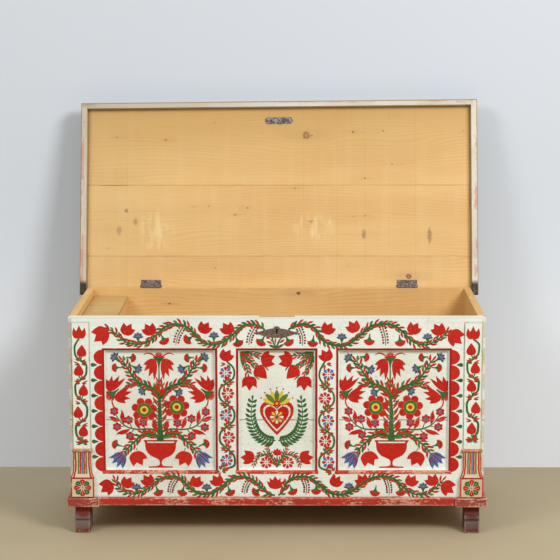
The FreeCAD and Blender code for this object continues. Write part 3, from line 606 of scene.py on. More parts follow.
# Each board's grain seed and its knots.
WALL_BOARDS = {
    ("front", "upper"): (1.7, ()),
    ("front", "lower"): (5.2, ()),
    ("back", "upper"): (2.4, ((0.062, 0.619, 0.007, 0.7), (-0.342, 0.586, 0.004, 1.0))),
    ("back", "lower"): (6.3, ((-0.21, 0.24, 0.011, 0.8), (0.33, 0.18, 0.009, 0.7))),
    ("left", "upper"): (8.8, ()),
    ("left", "lower"): (9.6, ((-0.03, 0.22, 0.009, 0.8),)),
    ("right", "upper"): (11.9, ()),
    ("right", "lower"): (12.5, ((0.07, 0.19, 0.008, 0.8),)),
}
BACK_OUTSIDE = {
    "upper": (16.5, ((-0.18, 0.47, 0.014, 1.0),)),
    "lower": (17.5, ((0.31, 0.27, 0.013, 1.0), (-0.4, 0.17, 0.01, 0.9))),
}
SHADED_TONES = (linear(218, 178, 112), linear(190, 138, 74))
WEATHERED_TONES = (linear(190, 150, 100), linear(140, 98, 58))
WEATHERED_LINE = 0.8
RIM_GROUND = linear(228, 228, 214)
END_GROUND = (linear(219, 213, 192), linear(190, 182, 152))
FRONT_EDGE = 0.0006
WALL_EDGE = 0.001
LEFT = (-1, 0, 0)
RIGHT = (1, 0, 0)
TO_FRONT = (0, -1, 0)
TO_BACK = (0, 1, 0)
UP = (0, 0, 1)
CASE_CORNERS = corners_of("left_side_lower", "right_side_upper", "frame_top_rail")
panel_ground = painted("panel_ground", GROUND, GROUND_STAIN, wear=-0.015)
rim_ground = painted("rim_ground", RIM_GROUND, GROUND_STAIN, CASE_CORNERS, wear=0.02, reach=0.010)
end_ground = painted("end_ground", *END_GROUND, CASE_CORNERS, wear=0.01, reach=0.012)
inside_pine = {}
for (name, level), (seed, knots) in WALL_BOARDS.items():
    order = "xzy" if name in ("front", "back") else "yzx"
    tones = SHADED_TONES if (name, level) == ("right", "upper") else PINE_TONES
    inside_pine[name, level] = pine(f"{name}_pine_{level}", seed, order, tones, knots)
for level in ("upper", "lower"):
    node = f"front_board_{level}"
    piece = eased_copy(node, FRONT_EDGE, [inside_pine["front", level], panel_ground, rim_ground])
    face_paint(piece, 1, TO_FRONT)
    face_paint(piece, 2, LEFT, RIGHT)
    if level == "upper":
        face_paint(piece, 2, UP)
    stand_for(piece, node)

    seed, knots = BACK_OUTSIDE[level]
    weathered = pine(
        f"back_outside_{level}", seed, "xzy", WEATHERED_TONES, knots, line=WEATHERED_LINE
    )
    node = f"back_board_{level}"
    piece = eased_copy(node, WALL_EDGE, [inside_pine["back", level], weathered, end_ground])
    face_paint(piece, 1, TO_BACK)
    face_paint(piece, 2, LEFT, RIGHT)
    stand_for(piece, node)

    for name, outwards in (("left", LEFT), ("right", RIGHT)):
        node = f"{name}_side_{level}"
        piece = eased_copy(node, WALL_EDGE, [inside_pine[name, level], end_ground, weathered])
        face_paint(piece, 1, outwards, TO_FRONT)
        face_paint(piece, 2, TO_BACK)
        stand_for(piece, node)

# The planted frame on the front: pine stiles, rails and muntins, painted off-white like the panels.
# A red line runs around each panel, over the chamfer and the edge of the frame's face, and its foot
# is rubbed pale where hands and cloths went over it.
FRAME_NODES = (
    "frame_stile_left",
    "frame_stile_right",
    "frame_top_rail",
    "frame_bottom_rail",
    "frame_muntin_left",
    "frame_muntin_right",
)
FRAME_EDGE = 0.0002
FRAME_CORNERS = corners_of(*FRAME_NODES)
# The closed lid has kept the frame's upper edge from wear.
FRAME_CORNERS[1].z += 0.004
FRAME_REACH = 0.006
# The panels and the pilaster strips, each as its middle and half its size.
OUTER_PANEL = (0.337, 0, 0.362), (0.157, 0, 0.175)
CENTRE_PANEL = (0, 0, 0.362), (0.108, 0, 0.175)
PILASTER_STRIP = (0.564, 0, 0.436), (0.025, 0, 0.186)
RED_LINE_START = 0.0026
RED_LINE_END = 0.0094
RED_LINE_SOFT = 0.0004
# Below the panels' feet the line is broader by this much at its start and its end.
FOOT_LINE_START = -0.0022
FOOT_LINE_END = 0.0026
PANEL_FOOT = (0.184, 0.188)
UNDER_LID = (0.632, 0.635)

# How far a point lies outside a rectangle on the front that is mirrored to the other side.
outside, outside_in = new_group(
    "outside_of_rectangle",
    {"Place": "Vector", "Middle": "Vector", "Half": "Vector"},
    {"Far": "Float"},
)
parts = outside.parts(outside_in["Place"])
mirrored = outside.joined(outside.maths("ABSOLUTE", parts["X"]), 0.0, parts["Z"])
from_middle = outside.vector("ABSOLUTE", outside.vector("SUBTRACT", mirrored, outside_in["Middle"]))
from_side = outside.parts(outside.vector("SUBTRACT", from_middle, outside_in["Half"]))
outside.give(Far=outside.most(from_side["X"], from_side["Z"]))

frame_ground, nodes = new_material("frame_ground", GROUND)
place = board_place(nodes)
parts = nodes.parts(place)
edge = edge_of(nodes, place, FRAME_CORNERS, FRAME_REACH)
from_outer, from_centre, from_strip = (
    nodes.use(outside, Place=place, Middle=middle, Half=half)["Far"]
    for middle, half in (OUTER_PANEL, CENTRE_PANEL, PILASTER_STRIP)
)
unsteady = nodes.maths("MULTIPLY_ADD", nodes.noise(place, 40.0, 2.0), 0.0016, -0.0008)
from_panels = nodes.maths("ADD", nodes.least(from_outer, from_centre), unsteady)
below = nodes.fade(parts["Z"], *PANEL_FOOT, 1.0, 0.0)
line_start = nodes.maths("MULTIPLY_ADD", below, FOOT_LINE_START, RED_LINE_START)
line_end = nodes.maths("MULTIPLY_ADD", below, FOOT_LINE_END, RED_LINE_END)
past_start = nodes.fade(nodes.minus(from_panels, line_start), -RED_LINE_SOFT, RED_LINE_SOFT)
before_end = nodes.fade(nodes.minus(from_panels, line_end), -RED_LINE_SOFT, RED_LINE_SOFT, 1.0, 0.0)
red_line = nodes.times(past_start, before_end)
line_foot = nodes.times(red_line, below)
frame_paint = nodes.washed(
    GROUND,
    # Painted shade with some dirt: a grey line on the frame close around each pilaster strip.
    (nodes.fade(from_strip, 0.0, 0.0035, 0.75, 0.0), linear(150, 140, 112)),
    (nodes.fade(parts["Z"], *UNDER_LID, 0.0, 0.6), linear(214, 212, 196)),
    (red_line, linear(160, 22, 14)),
    (line_foot, linear(206, 62, 42)),
)
frame_stain = nodes.washed(GROUND_STAIN, (red_line, linear(134, 22, 16)))
frame_primer = nodes.washed(
    GROUND_PRIMER, (red_line, linear(200, 54, 38)), (line_foot, linear(232, 172, 150))
)
foot_wear = rubbed_streaks(nodes, place, 0.5, nodes.fade(parts["X"], 0.33, 0.45, 0.12, 0.2))
frame_wear = nodes.maths("MULTIPLY_ADD", line_foot, foot_wear, -0.01)
layer = paint_over_wood(nodes, place, frame_paint, frame_stain, frame_wear, edge, frame_primer)
finish_paint(nodes, layer["Color"], layer)
for node in FRAME_NODES:
    stand_for(eased_copy(node, FRAME_EDGE, [frame_ground], segments=1), node)

# The pilasters: a thin pine strip, a worn bead, a striped and flared foot and a square block below
# it, all nailed on and painted. The foot and the block were handled most and have yellowed.
YELLOWED = (linear(216, 200, 168), linear(186, 158, 116))
BEAD_ROSE = (linear(190, 116, 88), linear(152, 78, 54))
BEAD_PRIMER = linear(214, 176, 134)
BEAD_EDGE = 0.0004
PILASTER_PARTS = (
    ("strip", 0.0008, (GROUND, GROUND_STAIN)),
    ("pedestal", 0.0006, YELLOWED),
    ("block", 0.0006, YELLOWED),
)
for side in ("left", "right"):
    for part, edge, colours in PILASTER_PARTS:
        node = f"pilaster_{part}_{side}"
        coat = painted(f"{part}_ground_{side}", *colours, corners_of(node), wear=0.02, reach=0.003)
        stand_for(eased_copy(node, edge, [coat]), node)
    node = f"pilaster_bead_{side}"
    coat = painted(f"bead_rose_{side}", *BEAD_ROSE, wear=0.1, streaks=0.4, primer=BEAD_PRIMER)
    stand_for(eased_copy(node, BEAD_EDGE, [coat]), node)

# The base: red pine mouldings around the foot of the case, rubbed and knocked through to the pale
# coat and the wood. The front one has kept the brightest red.
MOULDING_EDGE = 0.0012
BRIGHT_RED = (linear(186, 44, 30), linear(138, 44, 32))
DULL_RED = (linear(158, 58, 50), linear(128, 76, 66))
BASE_COATS = {"primer": linear(216, 158, 136), "wood": linear(206, 172, 146)}
BASE_STREAKS = 0.62
for node, colours in (
    ("corner_plinth_left", DULL_RED),
    ("corner_plinth_right", DULL_RED),
    ("base_moulding_left", DULL_RED),
    ("base_moulding_right", DULL_RED),
    ("base_moulding_front", BRIGHT_RED),
):
    corners = corners_of(node)
    worn_red = painted(
        f"{node}_red", *colours, corners, wear=0.1, streaks=BASE_STREAKS, **BASE_COATS
    )
    stand_for(eased_copy(node, MOULDING_EDGE, [worn_red], segments=3), node)

# The feet: square posts, doweled into the floor. The front pair has a hollow and a notch across its
# face. Scrubbing has taken the old red off their middles, which are grey and brown.
# Each foot's colours are darkened by its share as painted shade: the right front foot and the rear feet
# under the chest are darker.
FOOT_PAINTED_SHADES = {
    "foot_front_left": 1.0,
    "foot_front_right": 0.72,
    "foot_rear_left": 0.9,
    "foot_rear_right": 0.8,
}
FOOT_RED = linear(122, 40, 30)
FOOT_GREY = linear(118, 98, 92)
FOOT_RED_STAIN = linear(88, 44, 36)
FOOT_GREY_STAIN = linear(92, 72, 64)
FOOT_PRIMER = linear(162, 128, 110)
FOOT_WOOD = linear(120, 88, 62)
FOOT_REACH = 0.006
# The heights between which the scrubbed middle starts and ends.
SCRUBBED_FROM = (0.020, 0.034)
SCRUBBED_TO = (0.058, 0.072)


def toned(colour, share):
    """The same colour, lighter or darker."""
    return tuple(value * share for value in colour[:3]) + (1,)


for node, shade in FOOT_PAINTED_SHADES.items():
    foot_red, nodes = new_material(f"{node}_red", linear(112, 40, 32))
    place = board_place(nodes)
    edge = edge_of(nodes, place, corners_of(node), FOOT_REACH)
    rise = nodes.maths("MULTIPLY_ADD", nodes.noise(place, 60.0), 0.03, nodes.parts(place)["Z"])
    above = nodes.fade(rise, *SCRUBBED_FROM)
    scrubbed = nodes.times(above, nodes.fade(rise, *SCRUBBED_TO, 1.0, 0.0))
    paint = nodes.washed(toned(FOOT_RED, shade), (scrubbed, toned(FOOT_GREY, shade)))
    stain = nodes.washed(FOOT_RED_STAIN, (scrubbed, toned(FOOT_GREY_STAIN, shade)))
    wear = rubbed_streaks(nodes, place, 0.6, 0.07)
    layer = paint_over_wood(nodes, place, paint, stain, wear, edge, FOOT_PRIMER, FOOT_WOOD)
    finish_paint(nodes, layer["Color"], layer)
    stand_for(eased_copy(node, SAWN_EDGE, [foot_red]), node)

# The top and bottom rails: a garland grows from the middle to both corners in long waves, with tulips
# and cornflowers on it and carnations and tassels below. Like all of the front's flowers it is thick
# distemper, each shape laid with a round brush in one touch that stands a hair above the ground.
STROKE_DEPTH = 0.0002


def brush_colour(name, full, thin):
    """One of the painter's colours: streaky, different in each stroke, worn down to the ground."""
    material, nodes = new_material(f"painted_{name}", full)
    place = nodes.place()
    edge = edge_of(nodes, place, FRAME_CORNERS, FRAME_REACH)
    coats = {"Paint": GROUND, "Stain": GROUND_STAIN, "Primer": GROUND_PRIMER, "Under": BARE_WOOD}
    ground = nodes.use(old_paint, Place=place, Wear=-0.01, Edge=edge, **coats)
    stroke = nodes.add("Attribute", attribute_name="stroke")["Fac"]
    streaks = nodes.streaks(place, (90, 90, 240))
    rubs = nodes.fade(nodes.noise(place, 330.0, 4.0, 0.65), 0.67, 0.74, 0.0, 0.6)
    worn = nodes.most(rubs, ground["Lost"])
    colour = nodes.washed(
        full,
        (nodes.fade(streaks, 0.38, 0.7, 0.0, 0.7), thin),
        (nodes.times(stroke, 0.55), thin),
        (worn, ground["Color"]),
    )
    normal = nodes.bumped(nodes.maths("MULTIPLY_ADD", worn, -0.4, streaks), STROKE_DEPTH)
    nodes.finish(Base_Color=colour, Normal=normal, Roughness=0.55, Specular_IOR_Level=0.25)
    return material


# Each of the painter's colours, full and thinned.
PAINT_COLOURS = {
    "red": ((180, 20, 12), (202, 44, 24)),
    "crimson": ((142, 20, 18), (176, 38, 28)),
    "green": ((38, 86, 40), (72, 112, 54)),
    "leaf": ((82, 112, 42), (112, 126, 58)),
    "navy": ((42, 54, 88), (62, 72, 102)),
    "blue": ((64, 102, 160), (96, 130, 176)),
    "grey_blue": ((82, 106, 148), (112, 130, 162)),
    "yellow": ((222, 192, 30), (206, 196, 84)),
    "cream": ((230, 224, 200), (220, 210, 180)),
}
PAINTS = {
    name: brush_colour(name, linear(*full), linear(*thin))
    for name, (full, thin) in PAINT_COLOURS.items()
}
PAINT_NUMBER = {name: number for number, name in enumerate(PAINTS)}
# How far paint stands out of the ground and reaches into it, and what each layer adds, in mm.
PAINT_THICK = 0.12
PAINT_SUNK = 0.05
LAYER_STEP = 0.04
MM = 0.001
BOTH = (-1, 1)


def direction(degrees, length=1.0):
    """A step of some length, turned from the right towards up."""
    return cmath.rect(length, math.radians(degrees))


class Painting:
    """The brushwork on one flat. A place is a complex number of millimetres: across, then up."""

    def __init__(self, name, zero, seed):
        self.name = name
        self.zero = Vector(zero)
        self.hand = random.Random(seed)
        self.points = []
        self.faces = []
        self.paints = []
        self.tones = []
        self.bulge = lambda place: 0.0

    def lay(self, paint, outline, layer=0):
        """One closed patch of paint, as a very thin plate with a front, a back and an edge."""
        area = sum((a.conjugate() * b).imag for a, b in zip(outline, outline[1:] + outline[:1]))
        ring = outline if area > 0 else outline[::-1]
        rise = PAINT_THICK + LAYER_STEP * layer + self.hand.uniform(0, 0.01)
        first = len(self.points)
        count = len(ring)
        for height in (rise, -PAINT_SUNK):
            for place in ring:
                out = height + self.bulge(place)
                self.points.append(self.zero + Vector((place.real, -out, place.imag)) * MM)
        front = list(range(first, first + count))
        back = [number + count for number in reversed(front)]
        pairs = zip(front, front[1:] + front[:1])
        edges = [(here, here + count, there + count, there) for here, there in pairs]
        tone = self.hand.random()
        for face in (front, back, *edges):
            self.faces.append(face)
            self.paints.append(PAINT_NUMBER[paint])
            self.tones.append(tone)

    def dry(self):
        """Makes the mesh of all patches and fixes it to the case."""
        mesh = bpy.data.meshes.new(self.name)
        mesh.from_pydata(self.points, [], self.faces)
        for paint in PAINTS.values():
            mesh.materials.append(paint)
        mesh.polygons.foreach_set("material_index", self.paints)
        tone = mesh.attributes.new("stroke", "FLOAT", "FACE")
        tone.data.foreach_set("value", self.tones)
        piece = bpy.data.objects.new(self.name, mesh)
        bpy.context.collection.objects.link(piece)
        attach(piece, "case")


def curve_through(points, closed=True, steps=4):
    """A smooth line through the points. Where a point is given twice, the line has a sharp tip."""
    count = len(points)
    line = []
    for number in range(count if closed else count - 1):
        start, end = points[number], points[(number + 1) % count]
        if start == end:
            continue
        before = points[number - 1] if closed or number else start
        after = points[(number + 2) % count] if closed or number + 2 < count else end
        leaving, arriving = (end - before) / 2, (after - start) / 2
        for step in range(steps):
            t = step / steps
            line.append(
                start * (2 * t**3 - 3 * t**2 + 1)
                + leaving * (t**3 - 2 * t**2 + t)
                + end * (3 * t**2 - 2 * t**3)
                + arriving * (t**3 - t**2)
            )
    return line if closed else line + [points[-1]]


def sharp(*places):
    """Each of these points twice, for a tip or a notch."""
    return [place for place in places for repeat in range(2)]


def put(art, paint, outline, at=0j, turn=0.0, size=1.0, flip=False, layer=0):
    """Lays an outline at a place: flipped left to right, then turned by degrees."""
    way = direction(turn, size)
    places = [at + way * (-p.conjugate() if flip else p) for p in outline]
    art.lay(paint, places, layer)


# Half of a leaf's width, as shares of it, at shares of its length.
LEAF_SHARES = ((0.0, 0.12), (0.2, 0.3), (0.42, 0.45), (0.64, 0.47), (0.84, 0.28), (1.0, 0.0))


def leaf(art, paint, base, tip, width, bow=0.0, layer=1):
    """A pointed touch of the brush, fullest beyond its middle, and bowed to its left."""
    way = tip - base
    side = way / abs(way) * 1j
    spine = [
        (base + way * along + side * bow * 4 * along * (1 - along), half)
        for along, half in LEAF_SHARES
    ]
    left = [place + side * width * half for place, half in spine]
    right = [place - side * width * half for place, half in spine[-2:0:-1]]
    art.lay(paint, left + right, layer)


def touch_layer(paint):
    """Red touches lie over the green ones beside them."""
    return 2 if paint == "red" else 1


def disc(art, paint, centre, radius, layer=2, sides=12):
    art.lay(paint, [centre + cmath.rect(radius, math.tau * n / sides) for n in range(sides)], layer)


def stem(art, paint, points, first, last, layer=0, steps=4, belly=0.0):
    """A long stroke whose width goes from first to last, and swells by belly between them."""
    line = curve_through(points, closed=False, steps=steps)
    left, right = [], []
    for number, place in enumerate(line):
        ahead = line[min(number + 1, len(line) - 1)] - line[max(number - 1, 0)]
        share = number / (len(line) - 1)
        half = (first + (last - first) * share + belly * math.sin(math.pi * share)) / 2
        side = ahead / abs(ahead) * 1j * half
        left.append(place + side)
        right.append(place - side)
    art.lay(paint, left + right[::-1], layer)
    return line


def branch(art, points, first, last, leaf_length, pitch, spread=34.0, belly=0.0):
    """A stem feathered on both sides: red and green touches in pairs, and a red one at its end."""
    line = stem(art, "green", points, first, last, 3, belly=belly)
    walked = pitch / 2
    side = 1
    pair = 0
    for here, there in zip(line, line[1:]):
        along = (there - here) / abs(there - here)
        while walked < abs(there - here):
            base = here + along * walked
            green = ("leaf", "green", "green")[pair % 3]
            for paint, lean, share, width in (("red", side, 1.0, 0.29), (green, -side, 0.85, 0.31)):
                length = leaf_length * share * art.hand.uniform(0.84, 1.12)
                tip = base + along * direction(lean * (spread + art.hand.uniform(-8, 8)), length)
                bow = lean * length * 0.06
                leaf(art, paint, base, tip, leaf_length * width, bow, touch_layer(paint))
            side = -side
            pair += 1
            walked += pitch
        walked -= abs(there - here)
    end = line[-1]
    along = (end - line[-2]) / abs(end - line[-2])
    leaf(art, "red", end - along * 2, end + along * leaf_length * 0.8, leaf_length * 0.26)


# The flowers' shapes. Each stands on its zero and grows upwards.
LEANING_TULIP = curve_through(
    [0j, -14 + 5j, -21 + 17j, -17 + 29j]
    + sharp(-10 + 39j, -3 + 29j, 12 + 36j, 13 + 20j, 23 + 18j)
    + [17 + 8j, 9 + 2j]
)
OPEN_TULIP = curve_through(
    [0j, -15 + 4j, -21 + 14j]
    + sharp(-25 + 24j, -16 + 21j, -16 + 34j, -8 + 27j, 39j, 8 + 27j, 16 + 34j, 16 + 21j, 25 + 24j)
    + [21 + 14j, 15 + 4j]
)
FUNNEL = curve_through(
    sharp(-1.4 - 19j, 1.4 - 19j) + [2.6 - 9j] + sharp(8 + 1j, -8 + 1j) + [-2.6 - 9j], steps=3
)
# The faint dark lines up to two of a tulip's notches.
TULIP_LINES = ((-4 + 6j, -4 + 27j), (3 + 6j, 11 + 20j))


def tulip(art, place, turn=0.0, size=1.0, flip=False, shape=LEANING_TULIP):
    put(art, "red", shape, place, turn, size, flip, 2)
    way = direction(turn, size)
    for start, end in TULIP_LINES:
        first, last = (way * (-p.conjugate() if flip else p) for p in (start, end))
        leaf(art, "crimson", place + first, place + last, 1.3 * size, layer=3)


def cornflower(art, place, turn=0.0, size=1.0):
    """A green cup with a fan of blue petals, dark and pale, and dark specks at its heart."""
    put(art, "green", FUNNEL, place, turn, size, layer=5)
    for number in range(9):
        way = direction(turn + 84 - 21 * number)
        paint, reach, wide, layer = (("navy", 16.5, 6.2, 2), ("grey_blue", 15.0, 4.4, 3))[number % 2]
        leaf(art, paint, place - way * 1j, place + way * 1j * reach * size, wide * size, layer=layer)
        if number % 2:
            disc(art, "crimson", place + way * 7.5j * size, 1.3 * size, 4, 8)


def carnation(art, place, turn=0.0, size=1.0):
    """A green cup with a red fan whose rim is cut into teeth."""
    rim = [direction(174 - 12 * number, 15.2 if number % 2 else 17.5) for number in range(15)]
    put(art, "red", [6 - 2j, -6 - 2j] + rim, place, turn, size, layer=2)
    for number in range(5):
        way = direction(turn + 52 - 26 * number, size)
        leaf(art, "crimson", place + way * 6j, place + way * 16j, 1.4 * size, layer=3)
    put(art, "green", FUNNEL, place + direction(turn + 90, 2.5 * size), turn, size * 1.1, layer=4)


def tassel(art, top, bottom, bend):
    """A bent stalk between two strings of dots, red and blue in turn."""
    middle = (top + bottom) / 2 + bend
    line = stem(art, "leaf", [top, middle, bottom], 4.4, 2.2, steps=8)
    for side in BOTH:
        for number in range(7):
            here = line[1 + number * 2]
            along = line[2 + number * 2] - here
            place = here + along / abs(along) * 1j * side * (7.6 - number * 0.2)
            paint = "red" if (number + (side > 0)) % 2 else "navy"
            disc(art, paint, place, 3.3, 1, 8)


GARLAND_STEM = 5.6
GARLAND_END = 3.2
GARLAND_BELLY = 2.6
GARLAND_PITCH = 12


def garland(art, leaf_length, spread, halves):
    for points in halves:
        branch(
            art, points, GARLAND_STEM, GARLAND_END, leaf_length, GARLAND_PITCH, spread, GARLAND_BELLY
        )


def flower_row(art, flower, size, rows):
    """The same flower at several places, each with its turn."""
    for place, turn in rows:
        flower(art, place, turn, size)


def tulip_row(art, size, places):
    """Upright tulips that lean to the right and to the left in turn."""
    for number, place in enumerate(places):
        tulip(art, place, 0, size, flip=number % 2 == 1)


def tassels(art, rows):
    for top, bottom, bend in rows:
        tassel(art, top, bottom, bend)


art = Painting("garland_top", (0, FRONT_Y, 0), 1)
garland_left = (
    [-34 + 600j, -48 + 611j, -72 + 617j, -100 + 610j, -128 + 584j, -151 + 566j, -183 + 557j, -215 + 566j]
    + [-237 + 590j, -262 + 611j, -293 + 617j, -324 + 606j, -347 + 583j, -373 + 563j, -407 + 559j]
    + [-439 + 568j, -462 + 590j, -480 + 600j]
)
garland_right = (
    [34 + 601j, 56 + 614j, 86 + 616j, 114 + 600j, 132 + 570j, 164 + 556j, 201 + 556j, 237 + 582j]
    + [269 + 610j, 301 + 617j, 337 + 613j, 365 + 591j, 392 + 565j, 429 + 556j, 461 + 572j, 488 + 591j]
)
garland(art, 23.5, 29, (garland_left, garland_right))
tulip(art, -481 + 588j, 99, 1.3, True)
tulip_row(art, 0.98, (-428 + 583j, -366 + 583j, -206 + 588j, -142 + 586j))
tulip_row(art, 0.98, (148 + 586j, 219 + 591j, 394 + 586j, 463 + 583j))
tulip(art, 491 + 582j, -101, 1.22)
flower_row(art, cornflower, 1.0, ((-398 + 578j, 0), (-180 + 580j, 0), (187 + 576j, 0), (433 + 576j, 0)))
carnations_left = ((-325 + 572j, 205), (-252 + 574j, 122), (-112 + 566j, 200), (-43 + 568j, 150))
carnations_right = ((33 + 568j, 205), (104 + 566j, 172), (266 + 571j, 176), (354 + 568j, 188))
flower_row(art, carnation, 1.0, carnations_left + carnations_right)
stem(art, "green", [-241 + 582j, -232 + 584j, -222 + 575j], 2.6, 3.2)
tassels(art, ((-268 + 610j, -290 + 556j, -4), (-60 + 610j, -80 + 556j, -5)))
tassels(art, ((64 + 606j, 74 + 554j, 5), (302 + 612j, 313 + 554j, 3)))
# The small plant under the key plate.
stem(art, "green", [0 + 547j, -8 + 560j, -13 + 578j], 6, 4, 1)
stem(art, "green", [0 + 547j, 6 + 566j, 16 + 578j, 30 + 580j], 6, 3.4, 1)
for paint, base, tip, width in (
    ("green", 0 + 546j, -23 + 557j, 8),
    ("green", 0 + 546j, 21 + 559j, 8),
    ("leaf", -6 + 562j, -19 + 574j, 5.5),
    ("red", -11 + 560j, -30 + 567j, 6.5),
    ("red", -18 + 576j, -32 + 577j, 6),
    ("red", -3 + 558j, -4 + 577j, 5.5),
    ("red", 7 + 561j, 24 + 573j, 6.5),
):
    leaf(art, paint, base, tip, width, layer=2)
art.dry()

# The bottom rail has the same garland again, with a large open tulip at its middle.
art = Painting("garland_bottom", (0, FRONT_Y, 0), 2)
garland_left = (
    [-6 + 112j, -26 + 116j, -44 + 134j, -70 + 158j, -102 + 168j, -135 + 159j, -163 + 134j, -190 + 117j]
    + [-228 + 117j, -255 + 135j, -278 + 161j, -306 + 168j, -334 + 163j, -366 + 139j, -399 + 118j]
    + [-432 + 117j, -459 + 134j, -470 + 156j]
)
garland_right = (
    [4 + 112j, 16 + 122j, 32 + 154j, 60 + 167j, 96 + 164j, 128 + 139j, 157 + 118j, 197 + 115j]
    + [234 + 135j, 267 + 160j, 303 + 168j, 340 + 161j, 368 + 135j, 396 + 117j, 433 + 115j, 461 + 135j]
    + [480 + 156j]
)
garland(art, 23, 30, (garland_left, garland_right))
tulip(art, -474 + 138j, 97, 1.12, True)
tulip_row(art, 0.94, (-434 + 132j, -376 + 139j, -233 + 135j, -175 + 138j))
tulip_row(art, 0.94, (172 + 136j, 246 + 140j, 391 + 138j, 449 + 140j))
tulip(art, -5 + 130j, 0, 1.0, shape=OPEN_TULIP)
tulip(art, 475 + 137j, -97, 1.12)
flower_row(art, cornflower, 1.0, ((-408 + 132j, 0), (-204 + 132j, 0), (209 + 135j, 0), (424 + 135j, 0)))
carnations_left = ((-346 + 124j, 200), (-274 + 124j, 165), (-137 + 124j, 200), (-58 + 124j, 130))
carnations_right = ((44 + 127j, 205), (114 + 129j, 178), (285 + 124j, 170), (359 + 125j, 188))
flower_row(art, carnation, 0.96, carnations_left + carnations_right)
tassels(art, ((-294 + 162j, -311 + 115j, -4), (-76 + 162j, -95 + 115j, -5)))
tassels(art, ((78 + 163j, 84 + 114j, 5), (318 + 162j, 326 + 114j, 3)))
art.dry()

# The outer stiles: the red border of each flower panel swells into eight half rounds, with a green
# drop at each notch between them. It is laid on the frame's face beside the panel's red line.
SCALLOP_HIGH = 25
SCALLOP_ROUNDS = 8
SCALLOP_LEVELS = (181, 543)
SCALLOP_X = 502
PETAL = curve_through(
    sharp(0j) + [-0.20 + 0.52j, -0.24 + 0.80j, 0j + 1j, 0.24 + 0.80j, 0.20 + 0.52j], steps=2
)
for side, name in zip(BOTH, ("left", "right")):
    art = Painting(f"scallops_{name}", (0, FRONT_Y, 0), 3 + side)
    border = side * SCALLOP_X
    low, high = SCALLOP_LEVELS
    pitch = (high - low) / SCALLOP_ROUNDS
    for number in range(SCALLOP_ROUNDS):
        middle = border + 1j * (low + pitch * (number + 0.5))
        tall = pitch / 2 * 0.985
        arc = [direction(90 - 20 * step) for step in range(10)]
        art.lay("red", [middle + side * p.real * SCALLOP_HIGH + 1j * p.imag * tall for p in arc], 1)
        if number:
            notch = border + side * (SCALLOP_HIGH - 12) + 1j * (low + pitch * number)
            art.lay("green", [notch + side * (p.imag * 21 + 1j * p.real * 24) for p in PETAL], 2)
    art.dry()

# The two muntins: a tulip on top of a stem that winds between five rosettes, red ones and red and
# blue ones in turn, with a tuft of leaves wherever the stem crosses the middle.
MUNTIN_PLACES = {
    "left": (0 + 326j, (-3 + 293j, 3 + 232j, -3 + 168j, 5 + 102j, -2 + 34j)),
    "right": (-3 + 326j, (5 + 288j, -5 + 218j, 4 + 152j, -4 + 91j, 5 + 29j)),
}
# Each touch of a tuft: its turn from the tuft's own way up, its length and its paint.
MUNTIN_TUFT = (
    (40, 20, "red"),
    (-40, 20, "red"),
    (68, 17, "green"),
    (-68, 17, "leaf"),
    (14, 15, "leaf"),
)
MUNTIN_BACK_TUFT = [
    (180 - turn * 0.8, length * 0.8, paint) for turn, length, paint in MUNTIN_TUFT[:3]
]
PANEL_BASE = 0.1814


def bush(art, place, up, touches, width=6.4):
    """A tuft of leaves at a crossing of stems."""
    for turn, length, paint in touches:
        way = up * direction(turn, length * art.hand.uniform(0.9, 1.08))
        bow = (1 if turn > 0 else -1) * length * 0.05
        leaf(art, paint, place + way * 0.12, place + way, width, bow, touch_layer(paint))


def petals(art, paints, centre, count, inner, outer, start=0.0, width=1.0, layer=2):
    """A ring of teardrop petals, their colours in turn."""
    for number in range(count):
        way = direction(start + 360 / count * number + 90)
        length = outer - inner
        shape = [
            centre + way * inner + way * -1j * (p.real * width * length + 1j * p.imag * length)
            for p in PETAL
        ]
        art.lay(paints[number % len(paints)], shape, layer)


def rosette(art, centre, radius, paints, heart="blue"):
    """Eight teardrop petals around a small dot."""
    petals(art, paints, centre, 8, radius * 0.22, radius, art.hand.uniform(-4, 4), 1.35)
    disc(art, heart, centre, radius * 0.12, 3, 8)


for side, (name, (tulip_place, centres)) in zip(BOTH, MUNTIN_PLACES.items()):
    low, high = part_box(f"frame_muntin_{name}")
    art = Painting(f"muntin_flowers_{name}", ((low[0] + high[0]) / 2, FRONT_Y, PANEL_BASE), 5 + side)
    way = -side
    path = [tulip_place + 2j, tulip_place + 5 * way - 4j]
    for number, centre in enumerate(centres):
        outer = 23 * (way if number % 2 == 0 else -way) + centre.real * 0.3
        for along, height in ((0.8, 17), (1.0, 0), (0.8, -17)):
            path.append(complex(outer * along, centre.imag + height))
        if number < 4:
            path.append((centre + centres[number + 1]) / 2)
    path.append(complex(-14 * way, centres[-1].imag - 27))
    stem(art, "green", path, 5.4, 6.6)
    tulip(art, tulip_place, 0, 0.98, side > 0)
    for number, centre in enumerate(centres):
        if number % 2 == 0:
            rosette(art, centre, 18.5, ("red", "blue"), "crimson")
        else:
            rosette(art, centre, 18.5, ("red",))
        crossing = path[5 + number * 4] if number < 4 else path[-1]
        lean = way if number % 2 == 0 else -way
        up = direction(90 - lean * 48)
        if number == 0:
            bush(art, tulip_place - 7j, -1j * cmath.rect(1, -0.5 * way), MUNTIN_TUFT[:4], 5.4)
        for shift, touches in ((5, MUNTIN_TUFT), (-5, MUNTIN_TUFT[:4]), (-8, MUNTIN_BACK_TUFT)):
            bush(art, crossing + up * shift, up, touches, 5.8)
    art.dry()

# The outer panels: a tree of flowers that grows from a footed bowl, nearly alike on both sides.
# Places are for the right half of a tree, in mm from its middle and the panel's foot.
BLUE_TULIP = curve_through(
    [0j, -13 + 3j, -21 + 14j, -23 + 26j]
    + sharp(-27 + 41j, -13 + 31j, -7 + 47j, 2 + 33j, 12 + 48j, 15 + 31j, 28 + 38j)
    + [24 + 20j, 14 + 4j]
)
